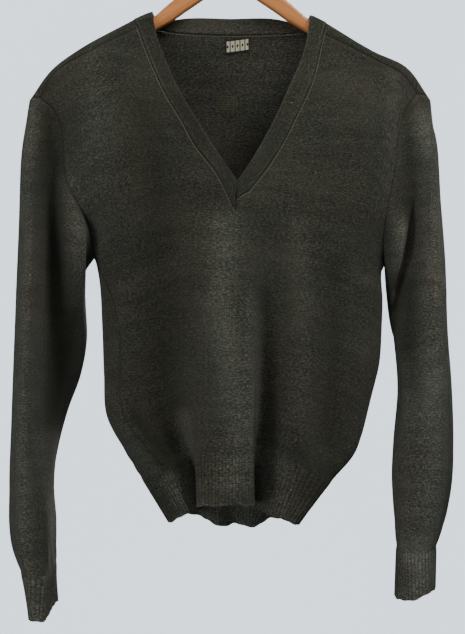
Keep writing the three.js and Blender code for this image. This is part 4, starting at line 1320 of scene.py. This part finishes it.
class JUMPER_OT_neckband(bpy.types.Operator):
    """Builds the ribbed neckband"""
    bl_idname = "jumper.neckband"
    bl_label = "Neckband"

    def execute(self, context):
        options = context.scene.jumper_cloth

        def rise(band, distance):
            share = band["share"]
            crown = NECK_CROWN * 4 * share * (1 - share)
            welt = WELT_RISE * bell(share * BAND_WIDTH - WELT_AT, 1.2)
            return crown + welt + NECK_RIB_RISE * band["tone"] * smooth(distance, 0, 3)

        dressed("rib", "neckband", NECK_RIB, rise, rib_wool(options))
        return {"FINISHED"}


class JUMPER_OT_stage(bpy.types.Operator):
    """Builds the plain surroundings, the soft lights and the camera"""
    bl_idname = "jumper.stage"
    bl_label = "Stage"

    def execute(self, context):
        options = context.scene.jumper_stage
        scene = context.scene
        world = bpy.data.worlds.new("studio")
        world.use_nodes = True
        ground = world.node_tree.nodes["Background"]
        ground.inputs["Color"].default_value = (*options.backdrop, 1.0)
        ground.inputs["Strength"].default_value = options.ambient
        scene.world = world

        shade, g, inputs = new_material("backdrop_paint", 1.0, Base_Color=(0, 0, 0, 1),
                                        Specular_IOR_Level=0.0,
                                        Emission_Strength=options.backdrop_level)
        soft = g.noise(g.object_place(), 0.35, 1.0)
        g.put(inputs["Emission Color"],
              g.mix(soft, tinted(options.backdrop, 0.97), tinted(options.backdrop, 1.03)))
        bpy.ops.mesh.primitive_uv_sphere_add(segments=48, ring_count=24, radius=ROOM_RADIUS,
                                             location=(0, 0, -0.5))
        room = context.object
        room.name = "surroundings"
        room.data.materials.append(shade)
        for ray in ("diffuse", "glossy", "transmission", "shadow", "volume_scatter"):
            setattr(room, f"visible_{ray}", False)

        bpy.ops.mesh.primitive_circle_add(vertices=96, radius=FLOOR_RADIUS, fill_type="NGON",
                                          location=(0, 0, FLOOR_HEIGHT))
        floor = context.object
        floor.name = "floor"
        paint, g, inputs = new_material("floor_paint", 0.8,
                                        Emission_Color=tinted(options.backdrop, 1.0),
                                        Emission_Strength=options.backdrop_level * 0.6)
        mottle = g.noise(g.object_place(), 1.2, 3.0)
        g.put(inputs["Base Color"],
              g.mix(mottle, tinted(options.backdrop, 0.92), tinted(options.backdrop, 1.0)))
        floor.data.materials.append(paint)
        floor.visible_diffuse = False
        floor.visible_glossy = False

        def light(name, turn, rise, reach, width, power, colour):
            """A round soft light that points at the middle, from an angle round it and one up."""
            lamp = bpy.data.lights.new(name, "AREA")
            lamp.shape = "DISK"
            lamp.size = width
            lamp.energy = power
            lamp.color = colour
            obj = bpy.data.objects.new(name, lamp)
            a, e = math.radians(turn), math.radians(rise)
            away = Vector((math.sin(a) * math.cos(e), -math.cos(a) * math.cos(e), math.sin(e)))
            obj.location = Vector((0, 0, MIDDLE_HEIGHT)) + away * reach
            obj.rotation_euler = (-away).to_track_quat("-Z", "Y").to_euler()
            obj.visible_camera = False
            scene.collection.objects.link(obj)

        warm, cool = (1.0, 0.99, 0.97), (0.97, 0.985, 1.0)
        light("key", 48, 45, 2.3, 1.0, options.key, warm)
        light("top", -5, 45, 2.3, 1.0, options.key * 0.35, warm)
        light("side", -50, 8, 2.3, 1.0, options.fill * 0.5, cool)
        light("low", -50, -22, 2.3, 1.0, options.fill, cool)
        light("rear", 165, 22, 2.4, 1.4, options.key * 2.2, (1.0, 1.0, 1.0))

        camera = bpy.data.cameras.new("camera")
        camera.lens = options.lens
        camera.sensor_width = 36
        camera.clip_start, camera.clip_end = 0.05, 50
        viewer = bpy.data.objects.new("camera", camera)
        viewer.location = (0.003, -2.0, -0.5)
        viewer.rotation_euler = (math.pi / 2, 0, 0)
        scene.collection.objects.link(viewer)
        scene.camera = viewer
        return {"FINISHED"}


def tube(name, paths, radius, sides, material, flat):
    """One mesh of thin, slightly flat threads along lists of points, with closed, tapered ends."""
    vertices, faces = [], []
    turns = 2 * math.pi * np.arange(sides)[None, :, None] / sides
    for path in paths:
        path = np.asarray(path, float)
        run = unit(np.gradient(path, axis=0))
        out = np.tile([0.0, -1.0, 0.0], (len(path), 1))
        out = unit(out - run * (out * run).sum(axis=1, keepdims=True))
        side = np.cross(run, out)
        taper = np.sin(np.linspace(0.12, math.pi - 0.12, len(path)))[:, None, None] ** 0.4
        step = side[:, None] * np.cos(turns) + out[:, None] * np.sin(turns) * flat
        grid = path[:, None] + step * radius * taper
        ids = len(vertices) + numbered(grid)
        vertices.extend(grid.reshape(-1, 3))
        quads = grid_quads(ids, flip=True, closed=True)
        faces += quads.tolist() + [ids[0, ::-1].tolist(), ids[-1].tolist()]
    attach(mesh_object(name, vertices, faces, material), "root")


def fibre_group():
    """Twisted thread: a fine pale and dark stripe along each stitch."""
    tree, g, given, out = new_group("thread_twist", {"Scale": 700.0}, ["Level"])
    wave = g.add("ShaderNodeTexWave", bands_direction="DIAGONAL")
    g.join(wave, Vector=g.object_place(), Scale=given["Scale"], Distortion=2.0)
    g.put(out["Level"], wave.outputs["Fac"])
    return tree


def thread_material(name, colour):
    material, g, inputs = new_material(name, 0.85, Specular_IOR_Level=0.3)
    twist = g.group(shared("fibre", fibre_group)).outputs["Level"]
    g.put(inputs["Base Color"], g.mix(twist, tinted(colour, 0.7), tinted(colour, 1.2)))
    return material


def stitches(path, facing, length, gap, lift):
    """Short pieces of a path, each a stitch that lies on the cloth."""
    marks = lengths_of(path)
    paths, at = [], 1.0
    while at + length < marks[-1] - 1.0:
        places = np.linspace(at, at + length, 5)
        rise = np.sin(np.linspace(0, math.pi, 5))[:, None] * 0.35 + lift
        paths.append(resampled(path, marks, places) + unit(resampled(facing, marks, places)) * rise)
        at += length + gap
    return paths


def laid_on(piece, places, side, lift):
    """Places given from the front as x and z, laid on the cloth that faces that side."""
    chosen = np.flatnonzero(piece["normals"][:, 1] * side > 0.3)
    points, normals = piece["points"][chosen], piece["normals"][chosen]
    path, facing = [], []
    for x, z in places:
        reach = (points[:, 0] - x) ** 2 + (points[:, 2] - z) ** 2
        near = np.argsort(reach)[:4]
        share = 1 / (reach[near] + 0.05)
        share = share / share.sum()
        path.append([x, (points[near, 1] * share).sum(), z])
        facing.append((normals[near] * share[:, None]).sum(axis=0))
    facing = unit(np.array(facing))
    return np.array(path) + facing * lift, facing


class JUMPER_OT_sewing(bpy.types.Operator):
    """Builds the stitches along the neckband, the darned patch and the specks of lint"""
    bl_idname = "jumper.sewing"
    bl_label = "Sewing"

    def execute(self, context):
        options = context.scene.jumper_finish
        pieces, outer, inner = cloth()
        pale = thread_material("seam_thread", options.thread)
        front = pieces["front"]
        path = outer + unit(outer - inner) * 1.3
        tree = tree_of(front["points"])
        facing = front["normals"][[tree.find(p)[1] for p in path]]
        on_front = path[:, 1] < FRONT_SEAM_FROM
        paths = []
        changes = np.flatnonzero(np.diff(on_front.astype(int))) + 1
        for part in np.split(np.arange(len(path)), changes):
            if on_front[part[0]] and len(part) > 6:
                paths += stitches(path[part], facing[part], options.stitch, 0.7, 0.1)
        tube("neck_seam_stitches", paths, 0.42, 6, pale, 0.7)

        inside = outer + (inner - outer) * 0.04
        path = inside[inside[:, 1] > BACK_SEAM_FROM] + np.array([0.0, -NECK_RIB - 0.35, -2.2])
        facing = np.tile([0.0, -1.0, 0.0], (len(path), 1))
        paths = stitches(path, facing, options.stitch, 0.6, 0.1)
        tube("back_neck_stitches", paths, 0.45, 6, pale, 0.7)

        def on_inside(places):
            return laid_on(pieces["back"], places, 1, -KNIT - 0.3)

        paths = []
        for row, z in enumerate(range(-232, -252, -3)):
            ends = -18 + row % 2 * 3, 10 - row % 3 * 2
            at, facing = on_inside([(x, z) for x in np.linspace(*ends, 26)])
            weave = np.where(np.arange(len(at)) % 2 == 0, 0.25, -0.05)[:, None]
            paths.append(at - facing * weave)
        for column, x in enumerate(np.linspace(-16, 8, 12)):
            ends = -230 - column % 2 * 1.5, -250 + column % 3 * 1.5
            at, facing = on_inside([(x, z) for z in np.linspace(*ends, 16)])
            paths.append(at - facing * 0.12)
        darn = thread_material("darning_wool", srgb(96, 93, 74))
        tube("darned_patch", paths, 0.3, 5, darn, 0.8)

        paths = []
        for node, x, z, turn in (("neckband", 73, -247, 0.3), ("hem_front", 72, -704, 1.1)):
            reach = np.linspace(-1.1, 1.1, 7)
            row = [(x + r * math.cos(turn), z + r * math.sin(turn)) for r in reach]
            at, facing = laid_on(pieces[node], row, -1, 0.5)
            paths.append(at + facing * 0.3 * np.cos(reach)[:, None])
        lint = thread_material("lint_fibre", srgb(218, 216, 204))
        tube("lint_specks", paths, 0.28, 5, lint, 0.9)
        return {"FINISHED"}


class JUMPER_OT_label(bpy.types.Operator):
    """Builds the bare woven label inside the back neck"""
    bl_idname = "jumper.label"
    bl_label = "Label"

    def execute(self, context):
        options = context.scene.jumper_finish
        row_at = np.linspace(*LABEL_ROWS, 21) + LABEL_DROP
        column_at = np.linspace(*LABEL_COLUMNS, 37)

        def on_back(step, along_by):
            """The label's points on the back's outer face, or a step further down or along it."""
            columns = []
            for at in column_at:
                lines = lines_at(BACK, row_at - LABEL_TILT * (at - column_at[0]) + step)
                i = int(at)
                columns.append(between(*lines[i - 1:i + 3], at + along_by - i))
            return np.stack(columns, axis=1)

        grid = on_back(0.0, 0.0)
        outward = unit(np.cross(on_back(0.0, 0.02) - grid, on_back(0.1, 0.0) - grid))
        outward = outward * np.sign(outward[..., 1:2])
        grid = grid - outward * (KNIT + LABEL_GAP)
        wide, tall = knit_places(grid, 0)
        piece = grid_piece(grid, wide, tall, flip=True)
        piece["normals"] = point_normals(piece["points"], piece["quads"])
        piece["loose"][:] = True
        obj = shell("label_weave", piece, LABEL_THICKNESS)

        material, g, inputs = new_material("label_weave", 0.7, Specular_IOR_Level=0.35)
        x, y = g.attribute("across"), g.attribute("down")
        width, height = float(wide.max()), float(tall.max())
        sides = [g.math("MINIMUM", at, g.less(end, at)) for at, end in ((x, width), (y, height))]
        edge = g.math("MINIMUM", *sides)
        cell = g.absolute(g.scaled(g.math("FRACT", g.over(x, width / LABEL_BLOCKS)), 2.0, -1.0))
        block = g.times(g.spread(cell, 0.86, 0.74), g.spread(edge, 1.6, 2.1))
        middle = g.absolute(g.over(g.less(y, height / 2), height * 0.3))
        diamond = g.spread(g.plus(cell, middle), 0.4, 0.55)
        threads = (g.math("SINE", g.times(at, 14.0)) for at in (x, y))
        weave = g.times(*threads)
        shade = g.spread(weave, -0.8, 0.8)
        ground = g.mix(shade, tinted(options.label_ground, 0.75), tinted(options.label_ground, 1.35))
        cream = g.mix(shade, srgb(176, 172, 144), srgb(214, 210, 182))
        g.put(inputs["Base Color"], g.mix(g.times(block, diamond), ground, cream))
        g.put(inputs["Normal"], g.bump(weave, 1.0, 0.12 * MM))
        obj.data.materials.append(material)
        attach(obj, "root")
        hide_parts("label")
        return {"FINISHED"}


def bar_section(x, top, low, steps=8):
    """A rounded rectangle across the bar."""
    half, points = BAR_HALF, []
    r = min(4.5, (top - low) / 2 - 0.5)
    for quarter, (side_y, side_z) in enumerate(((1, 1), (-1, 1), (-1, -1), (1, -1))):
        for step in range(steps):
            turn = (quarter + step / (steps - 1)) * math.pi / 2
            z = (top - r if side_z > 0 else low + r) + r * math.sin(turn)
            points.append([x, side_y * (half - r) + r * math.cos(turn), z])
    return points


def grain_group():
    """Straight wood grain that follows the slope of each arm: its rings and its pores."""
    tree, g, given, out = new_group("wood_grain", {"Pore": 1.0}, ["Ring", "Pore"])
    x, y, z = g.join(g.add("ShaderNodeSeparateXYZ"), g.object_place()).outputs
    level = g.scaled(g.absolute(x), 0.62, z)
    ring = g.noise(g.vector(g.times(x, 3.0), g.times(y, 60.0), g.times(level, 95.0)), 1.0, 3.0, 0.6)
    pore = g.noise(g.vector(g.times(x, 30.0), g.times(y, 420.0), g.times(level, 480.0)))
    g.put(out["Ring"], g.spread(ring, 0.35, 0.65))
    g.put(out["Pore"], g.times(g.spread(pore, 0.56, 0.7), given["Pore"]))
    return tree


class JUMPER_OT_hanger(bpy.types.Operator):
    """Builds the smooth wooden bar and the wire hook"""
    bl_idname = "jumper.hanger"
    bl_label = "Hanger"

    def execute(self, context):
        options = context.scene.jumper_finish
        edges = np.array(BAR_EDGES, float)
        x = resampled(edges, np.arange(len(edges)), fine_rows(len(edges) - 1))[:, 0]
        top, low = (np.interp(x, edges[:, 0], edges[:, side]) for side in (1, 2))
        for edge in (top, low) * 3:
            edge[1:-1] = edge[1:-1] * 0.5 + (edge[:-2] + edge[2:]) * 0.25
        right = [bar_section(*place) for place in zip(x, top, low)]
        left = [bar_section(-x[i], top[i], low[i]) for i in range(len(x) - 1, 0, -1)]
        rings = np.array(left + right)
        ids = numbered(rings)
        faces = grid_quads(ids, closed=True, flip=True).tolist()
        faces += [ids[0].tolist(), ids[-1, ::-1].tolist()]

        material, g, inputs = new_material("varnished_beech", 0.42, Coat_Weight=0.35,
                                           Coat_Roughness=0.25)
        grain = g.group(shared("grain", grain_group), Pore=0.8).outputs
        wood = options.wood
        colour = g.mix(grain["Ring"], tinted(wood, 0.82), tinted(wood, 1.1))
        colour = g.mix(g.times(grain["Pore"], 0.5), colour, tinted(wood, 0.45, 0.38, 0.3))
        g.put(inputs["Base Color"], colour)
        g.put(inputs["Normal"], g.bump(grain["Pore"], 0.4, 0.15 * MM))
        bar = mesh_object("hanger_bar_wood", rings.reshape(-1, 3), faces, material)
        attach(bar, "root")
        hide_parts("hanger_bar")

        steel, g, inputs = new_material("plated_wire", 0.28, Metallic=1.0)
        scratch = g.noise(g.object_place(), 260.0, 3.0)
        g.put(inputs["Base Color"], g.mix(scratch, srgb(150, 150, 148), srgb(205, 206, 204)))
        g.put(inputs["Roughness"], g.spread(scratch, 0.3, 0.7, 0.22, 0.42))
        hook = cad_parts["hanger_hook"]
        hook.data.materials.clear()
        hook.data.materials.append(steel)
        return {"FINISHED"}


OPERATORS = [JUMPER_OT_panels, JUMPER_OT_sleeves, JUMPER_OT_ribs, JUMPER_OT_neckband,
             JUMPER_OT_sewing, JUMPER_OT_label, JUMPER_OT_hanger, JUMPER_OT_stage]


class JUMPER_PT_sidebar(bpy.types.Panel):
    """The jumper's pieces and their settings"""
    bl_label = "Knitted jumper"
    bl_idname = "JUMPER_PT_sidebar"
    bl_space_type = "VIEW_3D"
    bl_region_type = "UI"
    bl_category = "Knitwear"

    def draw(self, context):
        for group in ("jumper_cloth", "jumper_finish", "jumper_stage"):
            box = self.layout.box()
            settings = getattr(context.scene, group)
            for name in settings.bl_rna.properties.keys():
                if name not in ("rna_type", "name"):
                    box.prop(settings, name)
        for operator in OPERATORS:
            self.layout.operator(operator.bl_idname)


OPTIONS = {"jumper_cloth": JumperClothOptions, "jumper_finish": JumperFinishOptions,
           "jumper_stage": JumperStageOptions}


def register():
    for cls in (*OPTIONS.values(), *OPERATORS, JUMPER_PT_sidebar):
        bpy.utils.register_class(cls)
    for name, cls in OPTIONS.items():
        setattr(bpy.types.Scene, name, PointerProperty(type=cls))


def unregister():
    for name in OPTIONS:
        delattr(bpy.types.Scene, name)
    for cls in (JUMPER_PT_sidebar, *reversed(OPERATORS), *reversed(OPTIONS.values())):
        bpy.utils.unregister_class(cls)


def main():
    register()
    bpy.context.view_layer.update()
    for operator in OPERATORS:
        group, name = operator.bl_idname.split(".")
        getattr(getattr(bpy.ops, group), name)()


if __name__ == "__main__":
    main()
